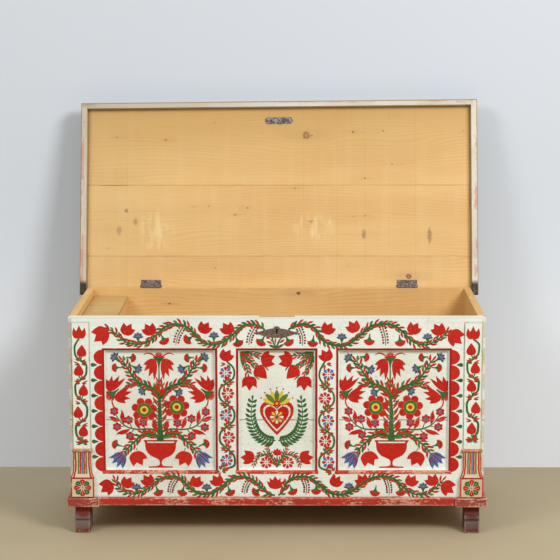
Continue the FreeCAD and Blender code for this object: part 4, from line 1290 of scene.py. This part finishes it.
# The dark stripes of the blue tulips, each from near the stalk to a tip or a notch.
BLUE_TULIP_STRIPES = (
    (-11 + 7j, -16 + 20j, -21 + 35j),
    (-7 + 5j, -11 + 20j, -13 + 34j),
    (-2 + 4j, -4 + 20j, -6 + 40j),
    (3 + 4j, 3 + 20j, 3 + 34j),
    (7 + 5j, 9 + 20j, 11 + 40j),
    (11 + 7j, 15 + 18j, 16 + 31j),
    (15 + 9j, 21 + 20j, 25 + 34j),
)
WING = curve_through(
    [-12 + 21j, -23 + 22j, -35 + 16j]
    + sharp(-45 + 5j, -36 + 2j, -43 - 15j, -28 - 7j, -30 - 32j, -18 - 18j, -14 - 42j)
    + [-7 - 20j, -5 + 0j, -7 + 13j]
)
SPLIT_CUP = curve_through(
    sharp(-17 + 26j, 17 + 26j) + [5 + 12j] + sharp(1.8 - 6j, -1.8 - 6j) + [-5 + 12j], steps=3
)
FRINGE = curve_through(
    sharp(-19 + 26j) + [-8 + 31j, 0j + 32j, 8 + 31j] + sharp(19 + 26j) + [0j + 26j], steps=3
)
FRINGE_CURL = (10 + 28j, 22 + 36j, 34 + 38j, 44 + 33j)


def split_flower(art, centre, turn, size=1.0):
    """Two feathered red wings that hang from a green cup with a red fringe and tendrils."""
    way = direction(turn, size)
    for flip in (False, True):
        put(art, "red", WING, centre, turn, size, flip, 2)
    put(art, "green", SPLIT_CUP, centre, turn, size, layer=2)
    put(art, "red", FRINGE, centre, turn, size, layer=3)
    for number in range(7):
        lean = direction(42 - 14 * number)
        base, tip = (centre + way * (24j + lean * reach) for reach in (7j, 18j))
        leaf(art, "red", base, tip, 3.0 * size)
    for side in BOTH:
        curl = [centre + way * complex(side * p.real, p.imag) for p in FRINGE_CURL]
        stem(art, "red", curl, 3.8 * size, 1.6 * size, belly=1.4)


# The rings inside the petals: each one's paint, radius and layer.
ROSETTE_RINGS = (("leaf", 20.5, 2), ("green", 17.5, 3), ("yellow", 12.2, 4), ("red", 6.2, 5))


def ringed_rosette(art, centre, turn):
    """Seven round red petals around rings of green and yellow."""
    for number in range(7):
        way = direction(turn + 360 / 7 * number)
        disc(art, "red", centre + way * 26, 11.4, 1, 14)
        leaf(art, "crimson", centre + way * 20, centre + way * 33, 2.0, layer=2)
    for paint, radius, layer in ROSETTE_RINGS:
        disc(art, paint, centre, radius, layer, 20)


def small_flower(art, centre, turn):
    """Six round red petals around a blue dot."""
    for number in range(6):
        way = direction(turn + 60 * number)
        disc(art, "red", centre + way * 8.6, 4.9, 1, 10)
        leaf(art, "crimson", centre + way * 3, centre + way * 12, 1.8, layer=2)
    disc(art, "grey_blue", centre, 4.9, 3, 10)
    disc(art, "navy", centre, 2.0, 4, 8)


def long_leaf(art, base, tip, width):
    """A red leaf with a swung tip, as on the low branches."""
    way = tip - base
    side = way / abs(way) * 1j * width
    left = [
        base + way * along + side * out for along, out in ((0.25, 0.42), (0.55, 0.5), (0.8, 0.1))
    ]
    right = [
        base + way * along - side * out for along, out in ((0.72, 0.42), (0.4, 0.4), (0.15, 0.2))
    ]
    art.lay("red", curve_through(sharp(base) + left + sharp(tip) + right, steps=3), 2)


def half_tree(art, side, sway, width, rosette_high):
    """One half of the tree. Side -1 mirrors it. The flowers' places are off by up to the sway."""

    def line(*places):
        return [complex(side * width * place.real, place.imag) for place in places]

    def at(place):
        return line(place + complex(art.hand.uniform(-sway, sway), art.hand.uniform(-sway, sway)))[0]

    def stalk(first, last, *places, paint="green"):
        stem(art, paint, line(*places), first, last)

    # The upper branch, with a split flower, cornflowers, carnations and the ringed rosette.
    branch(art, line(-2 + 214j, 17 + 240j, 38 + 253j, 62 + 259j), 9.5, 7, 27, 12.5)
    branch(art, line(60 + 259j, 74 + 259j, 86 + 256j), 5.5, 4, 22, 10)
    stalk(4.5, 3, 80 + 258j, 92 + 254j, 106 + 244j, 121 + 230j)
    branch(art, line(56 + 258j, 73 + 272j, 88 + 294j, 99 + 314j, 108 + 326j), 7.5, 3.4, 25, 12.5, 36)
    split_flower(art, at(124 + 239j), side * -128, 1.0)
    cornflower(art, at(128 + 334j), side * -56, 1.05)
    cornflower(art, at(67 + 303j), side * 118, 1.05)
    stalk(2.6, 2.2, 74 + 309j, 84 + 311j, 92 + 306j)
    cornflower(art, at(51 + 236j), side * -116, 1.0)
    stalk(4.4, 2.5, 20 + 242j, 30 + 246j, 41 + 242j, paint="leaf")
    carnation(art, at(82 + 336j), side * 98, 0.84)
    stalk(2.4, 2.0, 94 + 336j, 104 + 326j)
    carnation(art, at(125 + 303j), side * -92, 0.84)
    stalk(2.2, 2.4, 116 + 304j, 96 + 312j)
    ringed_rosette(art, at(48 + rosette_high * 1j), 10)
    stalk(4, 3, 5 + 205j, 14 + 208j, 22 + 200j, paint="leaf")

    # The middle branch, with small flowers and swung leaves.
    stalk(6, 3, 6 + 118j, 31 + 124j, 63 + 123j, 92 + 128j, 114 + 143j, 129 + 166j)
    for place in (132 + 176j, 92 + 153j, 50 + 143j, 129 + 131j, 89 + 105j):
        small_flower(art, at(place), 90)
    for base, tip in (
        (84 + 127j, 90 + 145j),
        (46 + 124j, 49 + 136j),
        (76 + 125j, 86 + 112j),
        (104 + 134j, 120 + 130j),
    ):
        stalk(3, 2.4, base, tip)
    for base, tip in (
        (60 + 124j, 77 + 163j),
        (106 + 138j, 114 + 182j),
        (118 + 148j, 152 + 160j),
        (88 + 124j, 131 + 106j),
        (9 + 118j, 26 + 150j),
        (16 + 112j, 58 + 115j),
    ):
        long_leaf(art, *line(base, tip), 14 * -side)

    # The low branch, with a carnation, a hanging tulip and a striped blue one.
    branch(art, line(5 + 102j, 34 + 110j, 58 + 105j, 74 + 88j, 92 + 71j, 106 + 52j), 8, 4, 25, 12.5, 36)
    leaf(art, "leaf", *line(4 + 96j, 42 + 104j), 8)
    carnation(art, at(128 + 79j), side * -74, 0.9)
    stalk(2.2, 2.4, 118 + 75j, 98 + 68j)
    put(art, "red", LEANING_TULIP, line(66 + 59j)[0], 180 + side * 2, 1.2, side < 0, 2)
    stalk(2.4, 2.4, 68 + 60j, 72 + 68j)
    blue = line(108 + 50j)[0]
    turn = side * -138
    put(art, "blue", BLUE_TULIP, blue, turn, 0.94, side < 0, 2)
    way = direction(turn, 0.94)
    for number, stripe in enumerate(BLUE_TULIP_STRIPES):
        path = [blue + way * complex(side * p.real, p.imag) for p in stripe]
        stem(art, ("navy", "crimson")[number % 2], path, 2.6, 1.2, 3, belly=1.2)


# Each tree's name, seed, middle and the top of its trunk, and the side, the width and the rosette's
# height of each half.
FLOWER_TREES = (
    ("left", 7, -0.337, -3, ((-1, 1.0, 182), (1, 1.0, 188))),
    ("right", 9, 0.333, -6, ((-1, 0.97, 189), (1, 1.06, 187))),
)
SWAY = 2.5
TRUNK_CROWN = (
    (20, 34, "red"),
    (-20, 34, "red"),
    (44, 34, "green"),
    (-44, 34, "green"),
    (70, 30, "red"),
    (-70, 30, "red"),
)
TRUNK_TOP_TUFT = ((18, 26, "red"), (-18, 26, "red"), (42, 24, "leaf"), (-42, 24, "leaf"))
BOWL = curve_through(
    sharp(-46 + 83j, 44 + 83j)
    + [42 + 62j, 30 + 46j, 12 + 37j]
    + [3.5 + 30j, 3.5 + 18j, 12 + 14j]
    + sharp(34 + 13j, 34 + 9j, -36 + 9j, -36 + 13j)
    + [-13 + 14j, -4.5 + 18j, -4.5 + 30j, -13 + 37j, -31 + 46j, -43 + 62j]
)
BOWL_LINE = [-50 + 88.5j, -49 + 91.5j, 49 + 91.5j, 49 + 88.5j]
BOWL_RIM = [-49 + 89j, -45 + 82j, -38 + 83j, -40 + 87j, 40 + 87j, 38 + 83j, 44 + 82j, 49 + 89j]
for name, seed, middle, top, halves in FLOWER_TREES:
    art = Painting(f"flower_tree_{name}", (middle, BOARD_Y, PANEL_BASE), seed)
    stem(art, "green", [-1 + 88j, -1.5 + 110j, -2 + 140j], 21, 13, 3)
    stem(art, "green", [-2 + 139j, -2 + 180j, top + 228j], 13, 9, 3)
    stem(art, "green", [top + 222j, top + 270j, top + 312j], 6, 2.8)
    for number in range(6):
        for lean in BOTH:
            height = 118 + 20 * number + 6 * lean
            length = art.hand.uniform(29, 36)
            edge = lean * (7 - number * 0.8)
            tip = complex(-2 + edge + lean * length * 0.46, height + length * 0.88)
            leaf(art, "red", complex(-2 + edge * 0.5, height - 2), tip, 6.6, -lean * 2.6, 4)
            tip = complex(-2 + edge + lean * length * 0.56, height - 12 + length * 0.66)
            green = ("green", "leaf")[number % 2]
            leaf(art, green, complex(-2 + edge * 0.4, height - 12), tip, 6.2, -lean * 2.6, 2)
    bush(art, top + 222j, 1j, TRUNK_CROWN, 8)
    bush(art, top + 244j, 1j, TRUNK_TOP_TUFT, 6)
    for lean in BOTH:
        leaf(art, "red", top + 258j, complex(top + lean * 10, 280), 5, layer=2)
    for side, width, rosette_high in halves:
        half_tree(art, side, SWAY, width, rosette_high)
    split_flower(art, top + 310j, 0, 1.0)
    art.lay("red", BOWL, 3)
    art.lay("crimson", BOWL_LINE, 3)
    art.lay("red", BOWL_RIM, 3)
    art.dry()

# The centre panel: sprays, tulips and buds in the corners around a plain folk medallion, a banded
# heart with a fan-shaped flower on it and a fern on each side. It is painted as the other panels are.
BUD = curve_through(
    [-8 + 0j, 8 + 0j, 14 + 7j, 13 + 17j, 7 + 27j] + sharp(36j) + [-7 + 27j, -13 + 17j, -14 + 7j]
)
DROOPING_TULIP = curve_through(
    [0j, -14 + 2j, -21 + 12j, -21 + 24j]
    + sharp(-22 + 34j, -10 + 27j, 43j, 10 + 27j, 22 + 34j)
    + [21 + 24j, 21 + 12j, 14 + 2j]
)
CORNER = 103 + 349j
CORNER_TWIGS = (52 + 341j, 60 + 309j, 83 + 289j)
CORNER_LEAVES = (68 + 347j, 76 + 338j, 80 + 325j, 88 + 318j, 97 + 304j)
BUD_STALKS = ((60 + 308j, 38 + 312j, 24 + 297j), (62 + 302j, 64 + 284j, 50 + 270j))
FOOT_TWIGS = (
    ((0 + 12j, 11 + 32j, 28 + 50j, 50 + 47j), 5.5, 2.6, 16),
    ((50 + 47j, 60 + 36j, 66 + 18j), 3.6, 2.0, 14),
    ((14 + 37j, 19 + 52j, 26 + 62j), 3.4, 1.8, 13),
)
FERN = (4 + 90j, 34 + 96j, 60 + 118j, 74 + 160j, 70 + 214j)


def spray(art, origin, ends):
    """Thin feathered twigs that spread from one place."""
    for end in ends:
        bend = (origin + end) / 2 + (end - origin) * 0.06j
        branch(art, [origin, bend, end], 4.6, 2.6, 20, 10.0, 30)


def fern(art, side, spine):
    """A frond whose leaves are shorter towards its tip and on its inner side."""
    frond = curve_through(spine, False, 8)
    stem(art, "green", frond, 4.5, 2.0)
    for number in range(2, len(frond) - 1, 2):
        here = frond[number]
        along = frond[number + 1] - frond[number - 1]
        share = number / len(frond)
        length = 28 - 14 * share * share
        for lean in BOTH:
            way = along / abs(along) * direction(lean * 52)
            reach = length * (0.55 + 0.45 * share) if lean == side else length
            leaf(art, "green", here - way, here + way * reach, 8.8, lean * 2.0, 1)
    leaf(art, "green", frond[-2], frond[-1] + 12j, 6.5)


art = Painting("centre_flowers", (0, BOARD_Y, PANEL_BASE), 10)
for side in BOTH:

    def at(place):
        return complex(side * place.real, place.imag)

    spray(art, at(CORNER), [at(end) for end in CORNER_TWIGS])
    for number, end in enumerate(CORNER_LEAVES):
        leaf(art, ("green", "red")[number % 2], at(CORNER + 3 + 3j), at(end), 6.2, layer=3)
    tulip(art, at(46 + 334j), side * 100, 1.12, side < 0)
    for stalk in BUD_STALKS:
        stem(art, "green", [at(place) for place in stalk], 5, 2.2, 1, belly=1.5)
    put(art, "red", BUD, at(59 + 305j), side * 136, 1.24, layer=2)
    put(art, "red", DROOPING_TULIP, at(79 + 280j), 180, 1.0, layer=2)
    put(art, "red", LEANING_TULIP, at(70 + 28j), side * -52, 1.02, side < 0, 2)
    rosette(art, at(31 + 25j), 18.5, ("red",), "grey_blue")
    for twig, first, last, leaf_length in FOOT_TWIGS:
        branch(art, [at(place) for place in twig], first, last, leaf_length, 8)
    disc(art, "red", at(30 + 74j), 3.4, 2, 10)
    fern(art, side, [at(place) for place in FERN])
art.lay("green", curve_through(sharp(-5 + 24j, 5 + 24j) + sharp(0j + 7j)), 1)
put(art, "red", OPEN_TULIP, 1 + 45j, 0, 0.6, layer=2)
leaf(art, "green", 0 + 20j, 0.5 + 47j, 5)

# The medallion's heart: three bands, dotted between them, with an eight-petalled flower inside.
HALF_HEART = (0j, 20 + 22j, 43 + 55j, 50 + 82j, 40 + 102j, 20 + 104j, 4 + 92j, 0 + 88j)
HEART_BANDS = (("red", 98, 100, 106, 2), ("cream", 80, 80, 117, 3), ("red", 70, 69, 123, 4))
HEART_DOTS = (8 + 122j, 22 + 139j, 34 + 158j, 40 + 178j, 33 + 193j, 17 + 193j)
HEART_FLOWER = 160j
FAN_FOOT = 196j


def heart(width, height, foot):
    """A heart that stands on its point, from its foot up."""
    right = [complex(p.real * width / 100, foot + p.imag * height / 106) for p in HALF_HEART]
    left = [complex(-p.real, p.imag) for p in right[-2:0:-1]]
    return curve_through(sharp(right[0]) + right[1:-1] + sharp(right[-1]) + left)


for paint, width, height, foot, layer in HEART_BANDS:
    art.lay(paint, heart(width, height, foot), layer)
for side in BOTH:
    for place in HEART_DOTS:
        disc(art, "green", complex(side * place.real, place.imag), 2.0, 5, 8)
petals(art, ("cream", "yellow"), HEART_FLOWER, 8, 4, 20, layer=5)
disc(art, "green", HEART_FLOWER, 4.2, 6, 12)
for side in BOTH:
    leaf(art, "green", complex(side * 6, 188), complex(side * 34, 226), 12, side * 4, 1)
for number in range(7):
    way = direction(-66 + 22 * number)
    paint = "yellow" if number % 2 == 0 else "leaf"
    leaf(art, paint, FAN_FOOT + way * 4j, FAN_FOOT + way * 46j, 15, layer=2 + number % 2)
    disc(art, "red", FAN_FOOT + way * 50j, 2.6, 3, 8)
disc(art, "red", FAN_FOOT + 4j, 9, 4, 14)
disc(art, "yellow", FAN_FOOT + 4j, 3.5, 5, 10)
art.dry()

# The pilasters' paint: on each strip a tulip over five buds, and a stem that winds between them. The
# pedestals are striped, and each block has a red frame and a rosette, all laid on as on the frame.
POSY_TULIP = curve_through(
    [1j, -12 + 1j, -19 + 11j, -19 + 22j]
    + sharp(-15 + 33j)
    + [-10 + 24j, -6 + 26j]
    + sharp(40j)
    + [6 + 26j, 10 + 24j]
    + sharp(16 + 33j)
    + [19 + 22j, 19 + 11j, 12 + 1j]
)
PILASTER_BUDS = {
    "left": (-3 + 575j, (3 + 538j, -7 + 482j, 6 + 423j, -9 + 358j, 4 + 303j)),
    "right": (-1 + 573j, (-6 + 543j, 7 + 489j, -4 + 436j, 9 + 372j, -3 + 311j)),
}
STRIP_TUFT = (
    (66, 21, "red"),
    (-66, 21, "red"),
    (92, 17, "green"),
    (-92, 17, "green"),
    (42, 16, "leaf"),
    (-42, 16, "green"),
)
# The tuft at the foot of the stem: each leaf's turn, length, width, bow, layer and paint.
FOOT_TUFT = (
    (-20, 20, 8, 3, 1, "green"),
    (-60, 16, 8, 3, 1, "green"),
    (200, 18, 8, 3, 1, "green"),
    (-120, 13, 8, 3, 1, "green"),
    (-35, 17, 5.5, 2, 2, "red"),
    (-150, 17, 5.5, 2, 2, "red"),
)
# Each stripe's distance from the middle and its width, at the top of the pedestal.
STRIPES = (
    ("crimson", -24.6, 2.6),
    ("red", -19.4, 4.6),
    ("leaf", -11.0, 4.4),
    ("red", -5.6, 4.2),
    ("grey_blue", 0.2, 5.2),
    ("red", 5.8, 4.2),
    ("leaf", 11.2, 4.4),
    ("red", 19.6, 4.6),
    ("crimson", 24.8, 2.6),
)
# The pedestal's flare: its height, and half the width and the depth of the pedestal above it.
FLARE_HIGH = 30
PEDESTAL_HALF = 26
PEDESTAL_OUT = 6
BLOCK_HALF_WIDE = 33.5
BLOCK_HALF_HIGH = 30.0
BLOCK_LINE = 3.6


def bar(middle, half_wide, half_high):
    corners = ((-1, -1), (1, -1), (1, 1), (-1, 1))
    return [middle + complex(x * half_wide, z * half_high) for x, z in corners]


for side, (name, (tulip_place, buds)) in zip(BOTH, PILASTER_BUDS.items()):
    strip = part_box(f"pilaster_strip_{name}")
    middle = (strip[0][0] + strip[1][0]) / 2
    art = Painting(f"pilaster_flowers_{name}", (middle, strip[0][1], 0), 20 + side)
    tulip(art, tulip_place, 0, 1.0, False, POSY_TULIP)
    path = [tulip_place + 1j]
    for number, bud in enumerate(buds):
        outer = 16.5 * (side if number % 2 == 0 else -side)
        for along, height in ((0.92, 18), (1.0, 2), (0.82, -14)):
            path.append(complex(outer * along, bud.imag + height))
        path.append(complex(0, bud.imag - 27))
    stem(art, "green", path, 5.5, 7, steps=5)
    for number, bud in enumerate(buds):
        put(art, "red", BUD, bud - 15j, art.hand.uniform(-4, 4), 0.96, layer=3)
        crossing = path[4 + number * 4]
        stem(art, "green", [crossing, bud - 14j], 4, 3.4)
        lean = -side if number % 2 == 0 else side
        bush(art, crossing - 2j, direction(90 - lean * 30), STRIP_TUFT, 5.4)
        bush(art, crossing - 11j, 1j, STRIP_TUFT[:4], 4.8)
    for turn, length, width, bow, layer, paint in FOOT_TUFT:
        touch = direction(turn if side < 0 else 180 - turn, length)
        leaf(art, paint, path[-1], path[-1] + touch, width, bow, layer)
    art.dry()

    # The stripes follow the pedestal out over its flare, whose hollow has three flats.
    low, high = corners_of(f"pilaster_pedestal_{name}")
    foot_half = (high.x - low.x) / MM / 2
    foot_out = (FRONT_Y - low.y) / MM
    levels = [0, 10, 20, 30, 52, (high.z - low.z) / MM]
    art = Painting(f"pedestal_stripes_{name}", (middle, FRONT_Y, low.z), 40 + side)

    def flared(level):
        """How far the flare has gone at a level, 1 at the foot and 0 above the flare."""
        return max(0.0, 1 - level / FLARE_HIGH) ** 2

    art.bulge = lambda place: PEDESTAL_OUT + (foot_out - PEDESTAL_OUT) * flared(place.imag)
    for paint, away, wide in STRIPES:
        start = 0 if abs(away) > 15 else 1
        for below, above in zip(levels[start:], levels[start + 1:]):
            edges = []
            for level in (below, above):
                spread = (PEDESTAL_HALF + (foot_half - PEDESTAL_HALF) * flared(level)) / PEDESTAL_HALF
                middle_x = away + art.hand.uniform(-0.7, 0.7)
                across = [(middle_x + half * wide) * spread for half in (-0.5, 0.5)]
                edges.append([complex(x, level) for x in across])
            art.lay(paint, edges[0] + edges[1][::-1], 1)
    art.dry()

    low, high = corners_of(f"pilaster_block_{name}")
    art = Painting(f"block_rosette_{name}", (middle, low.y, (low.z + high.z) / 2), 30 + side)
    for way in BOTH:
        level = way * (BLOCK_HALF_HIGH - BLOCK_LINE / 2)
        art.lay("crimson", bar(level * 1j, BLOCK_HALF_WIDE, BLOCK_LINE / 2), 1)
        across_at = way * (BLOCK_HALF_WIDE - BLOCK_LINE / 2)
        art.lay("red", bar(across_at, BLOCK_LINE / 2, BLOCK_HALF_HIGH), 2)
    petals(art, ("red", "green"), 0j, 8, 5, 25.5, width=1.5)
    petals(art, ("cream",), 0j, 8, 9, 21, width=0.14, layer=3)
    disc(art, "crimson", 0j, 2.2, 3, 8)
    art.dry()

# The till: thin planed pine across the chest's left end. Its own lid is a little darker and turns
# over on round tenons, and a cleat on the end wall carries the lid's other edge.
TILL_EDGE = 0.0006
for node, order, seed, tone in (
    ("till_wall", "yzx", 21.0, 1.0),
    ("till_bottom", "xyz", 22.0, 1.0),
    ("till_cleat", "yzx", 23.0, 1.0),
    ("till_lid", "yxz", 24.0, 0.72),
):
    tones = [toned(colour, tone) for colour in PINE_TONES]
    stand_for(eased_copy(node, TILL_EDGE, [pine(f"{node}_pine", seed, order, tones)]), node)

# The lid: three wide pine boards, glued side by side. They are bare underneath, painted off-white
# and worn outside, with a dark red edge all around.
LID_KNOTS = {
    "rear": (
        (0.408, -0.033, 0.010, 1.0, 0.9),
        (0.215, -0.0655, 0.004, 0.3, 0.4),
        (-0.2, -0.06, 0.003, 0.4),
    ),
    "middle": (
        (0.051, -0.312, 0.003, 0.8),
        (-0.481, -0.241, 0.007, 0.45, 1.2),
        (-0.453, -0.206, 0.009, 0.3, 1.5),
        (-0.504, -0.179, 0.010, 0.3, 1.8),
        (-0.138, -0.228, 0.003, 0.9),
        (-0.099, -0.2495, 0.004, 0.35),
        (-0.222, -0.2555, 0.003, 0.35),
        (-0.269, -0.2535, 0.003, 0.25),
        (-0.539, -0.1215, 0.004, 0.3),
        (0.101, -0.206, 0.009, 0.2),
        (0.271, -0.2245, 0.003, 0.5),
        (0.234, -0.2225, 0.0025, 0.4),
        (0.267, -0.166, 0.008, 0.3, 2.4),
        (0.474, -0.163, 0.009, 0.32, 3.2),
    ),
    "front": (
        (0.086, -0.481, 0.013, 1.0, 1.0),
        (0.103, -0.480, 0.004, 0.9),
        (0.234, -0.491, 0.005, 0.8),
        (0.329, -0.494, 0.004, 0.6),
        (-0.513, -0.475, 0.004, 0.8, 0.5),
        (-0.359, -0.466, 0.005, 0.8, 0.5),
        (0.271, -0.344, 0.003, 0.7),
        (0.583, -0.494, 0.003, 0.4),
        (-0.202, -0.522, 0.003, 0.4),
        (0.357, -0.389, 0.005, 0.25),
    ),
}
LID_TONES = {
    "rear": (linear(230, 187, 119), linear(206, 151, 84)),
    "middle": PINE_TONES,
    "front": (linear(232, 190, 121), linear(203, 149, 81)),
}


def lid_corners(*nodes):
    """The low and high corners of some of the lid's nodes, in the closed lid's own axes."""
    corners = [corner.co for node in nodes for corner in frame["nodes"][node].data.vertices]
    places = [TO_CLOSED_LID @ (corner - LID_PIN) for corner in corners]
    low = Vector(min(place[axis] for place in places) for axis in range(3))
    high = Vector(max(place[axis] for place in places) for axis in range(3))
    return low, high


LID_NODES = ("lid_board_front", "lid_board_rear", "lid_rim_left", "lid_rim_right", "lid_rim_front")
LID_CORNERS = lid_corners(*LID_NODES)
LID_EDGE = 0.0006
# The underside inside the rims: half its width, its depth, its two seams, and the open stretch of the
# front seam as its middle and half size.
UNDERSIDE_HALF = 0.603
UNDERSIDE_DEPTH = 0.576
LID_SEAMS = [corner.y for corner in lid_corners("lid_board_middle")]
OPEN_SEAM = ((-0.520, LID_SEAMS[0] + 0.0006, 0), (0.058, 0.0012, 1))
# Two places on the underside where something rubbed it pale, as middle and half size.
PALE_RUBS = (((-0.386, -0.176, 0), (0.060, 0.072, 1)), ((0.112, -0.190, 0), (0.072, 0.052, 1)))
# Faint straight dark lines across all three boards, each at its distance from the middle.
LID_DARK_LINES = (-0.479, 0.078, 0.124, 0.183, 0.272, 0.348, 0.430)


def lid_marks(nodes, place, colour):
    """Painted shade and olive dirt along the rims, painted shade towards the front rim, a greyer left
    side, faint dark lines, pale rubs and the seams.
    """

    def from_spot(middle, half):
        way = nodes.vector("SUBTRACT", place, middle)
        return nodes.length(nodes.vector("DIVIDE", way, half))

    parts = nodes.parts(place)
    from_left = nodes.maths("ADD", parts["X"], UNDERSIDE_HALF)
    from_right = nodes.minus(UNDERSIDE_HALF, parts["X"])
    from_front = nodes.maths("ADD", parts["Y"], UNDERSIDE_DEPTH)
    from_rim = nodes.least(nodes.least(from_left, from_right), from_front)
    strokes = nodes.fade(nodes.streaks(place, (46, 14, 14), 4.0), 0.40, 0.70, 0.0, 0.5)
    uneven = nodes.noise(place, 14.0, 2.0)
    strength = nodes.fade(uneven, 0.3, 0.7, 0.08, 0.32)
    washes = [
        (nodes.fade(parts["X"], -0.6, -0.3, 0.35, 0.0), linear(206, 178, 124)),
        # Painted shade: the boards darken towards the front rim.
        (nodes.fade(from_front, 0.0, 0.29, 0.52, 0.0), linear(182, 140, 72)),
    ]
    for middle, half in PALE_RUBS:
        rub = nodes.times(nodes.fade(from_spot(middle, half), 0.5, 1.15, 1.0, 0.0), strokes)
        washes.append((rub, linear(244, 220, 162)))
    for level in LID_SEAMS:
        seam = nodes.fade(nodes.away(parts["Y"], level), 0.0008, 0.0022, 1.0, 0.0)
        washes.append((nodes.times(seam, strength), linear(150, 104, 54)))
    for line_x in LID_DARK_LINES:
        dark_line = nodes.fade(nodes.away(parts["X"], line_x), 0.0004, 0.0018, 0.7, 0.0)
        washes.append((nodes.times(dark_line, strength), linear(166, 122, 66)))
    gap = nodes.fade(from_spot(*OPEN_SEAM), 0.7, 1.0, 0.8, 0.0)
    # Painted shadow of the rims, with olive dirt: a dark band along their inner edges.
    reach = nodes.maths("DIVIDE", from_rim, nodes.fade(uneven, 0.3, 0.7, 0.003, 0.007))
    rim_shade_and_dirt = nodes.fade(reach, 0.0, 1.0, 0.65, 0.0)
    return nodes.washed(colour, *washes, (gap, linear(92, 66, 36)), (rim_shade_and_dirt, linear(128, 100, 48)))


LID_WHITE = (linear(214, 208, 188), linear(184, 176, 148))
LID_RED = (linear(122, 62, 54), linear(138, 108, 96))
LID_RED_COATS = {"primer": linear(150, 122, 108), "wood": linear(140, 112, 92)}
lid_outside = painted(
    "lid_outside", *LID_WHITE, LID_CORNERS, wear=0.03, reach=0.012, on_lid=True
)
lid_edge = painted("lid_edge_red", *LID_RED, wear=0.05, on_lid=True, **LID_RED_COATS)
for number, (board, knots) in enumerate(LID_KNOTS.items()):
    node = f"lid_board_{board}"
    seed = 31.0 + number * 1.3
    inside = pine(
        f"{node}_pine", seed, "xyz", LID_TONES[board], knots, on_lid=True, aged=lid_marks
    )
    piece = eased_copy(node, LID_EDGE, [inside, lid_outside, lid_edge])
    for face in piece.data.polygons:
        up = (TO_CLOSED_LID @ face.normal).z
        if up > FACES_IT:
            face.material_index = 1
        elif up > -FACES_IT:
            face.material_index = 2
    stand_for(piece, node)

# The lid's rims: painted pine strips, nailed on below its front and its sides. They are scuffed
# through to an older red along their outer edges, the side rims are painted nearly black at their
# rear ends, where the lid is stopped, and the front rim is greyer towards its left end.
RIM_EDGE = 0.0008
RIM_STAIN = linear(188, 176, 150)
for node, rim_paint, scuff_start, along in (
    ("lid_rim_left", linear(208, 197, 176), 0.44, (70, 14, 70)),
    ("lid_rim_right", linear(230, 224, 208), 0.52, (70, 14, 70)),
    ("lid_rim_front", linear(222, 221, 212), 0.50, (14, 70, 70)),
):
    coat, nodes = new_material(f"{node}_ground", rim_paint)
    place = board_place(nodes, on_lid=True)
    parts = nodes.parts(place)
    lid_low, lid_high = LID_CORNERS
    from_side = nodes.minus(lid_high.x, nodes.maths("ABSOLUTE", parts["X"]))
    from_edge = nodes.least(from_side, nodes.minus(parts["Y"], lid_low.y))
    uneven = nodes.noise(place, 30.0, 4.0, 0.7)
    reach = nodes.maths("DIVIDE", from_edge, nodes.fade(uneven, 0.35, 0.65, 0.0012, 0.006))
    worn_edge = nodes.fade(reach, 0.5, 1.0, 0.9, 0.0)
    rubs = nodes.streaks(place, along, 4.0, 0.7)
    scuffs = nodes.fade(rubs, scuff_start, scuff_start + 0.10, 0.0, 0.8)
    scuffs = nodes.times(scuffs, nodes.fade(from_edge, 0.009, 0.018, 1.0, 0.15))
    left_end = nodes.fade(parts["X"], -0.60, -0.555, 1.0, 0.0)
    corner = nodes.times(left_end, nodes.fade(parts["Y"], -0.58, -0.56, 0.55, 0.0))
    dark_rear_end = nodes.fade(uneven, 0.25, 0.5, 0.6, 1.0)
    dark_rear_end = nodes.times(nodes.fade(parts["Y"], -0.024, -0.006), dark_rear_end)
    if node == "lid_rim_front":
        greyer_to_left = nodes.fade(parts["X"], -0.5, 0.2, 0.75, 0.1)
        rim_paint = nodes.washed(rim_paint, (greyer_to_left, linear(180, 168, 148)))
    layer = paint_over_wood(nodes, place, rim_paint, RIM_STAIN, wear=0.0, edge=0.0)
    colour = nodes.washed(
        layer["Color"],
        (scuffs, linear(198, 142, 118)),
        (worn_edge, linear(124, 96, 84)),
        (corner, linear(150, 122, 92)),
        (dark_rear_end, linear(58, 48, 40)),
    )
    finish_paint(nodes, colour, layer)
    stand_for(eased_copy(node, RIM_EDGE, [coat]), node)

# The ironwork: hinges, catch, key plate, lock and nails, forged by hand, rusted brown and grey, and
# rubbed bright in places. Rust is browner near the hinges' pins and on the key plate.
IRON_DEPTH = 0.0006
iron, nodes = new_material("forged_iron", linear(96, 88, 80))
place = nodes.place()
parts = nodes.parts(place)
blotch = nodes.noise(place, 170.0, 4.0, 0.6)
side_view = nodes.joined(0.0, parts["Y"], parts["Z"])
pin_way = nodes.vector("SUBTRACT", side_view, (0, LID_PIN.y, LID_PIN.z))
near_pins = nodes.fade(nodes.length(pin_way), 0.020, 0.027, 0.8, 0.0)
key_plate = nodes.fade(parts["Y"], -0.345, -0.340, 1.0, 0.0)
patches = nodes.fade(nodes.noise(place, 60.0), 0.5, 0.66, 0.0, 0.6)
rusty = nodes.most(nodes.most(near_pins, key_plate), patches)
rusty = nodes.times(rusty, nodes.fade(blotch, 0.3, 0.7, 1.0, 0.45))
iron_colour = nodes.washed(
    linear(92, 76, 68),
    (nodes.fade(blotch, 0.38, 0.62), linear(160, 160, 162)),
    (rusty, linear(106, 72, 44)),
)
nodes.finish(
    Base_Color=iron_colour,
    Metallic=nodes.fade(blotch, 0.45, 0.62, 0.15, 0.7),
    Roughness=nodes.fade(blotch, 0.4, 0.65, 0.72, 0.42),
    Normal=nodes.bumped(blotch, IRON_DEPTH),
)
for node, slot in slot_of_node.items():
    if slot == "wrought_iron":
        cover(frame["nodes"][node], [iron])

# The dowels that join the feet to the floor boards: split pine, hidden but for their ends. They keep
# their plain round shape.
cover(frame["nodes"]["foot_dowels"], [pine("dowel_pine", 40.0, "zxy")])
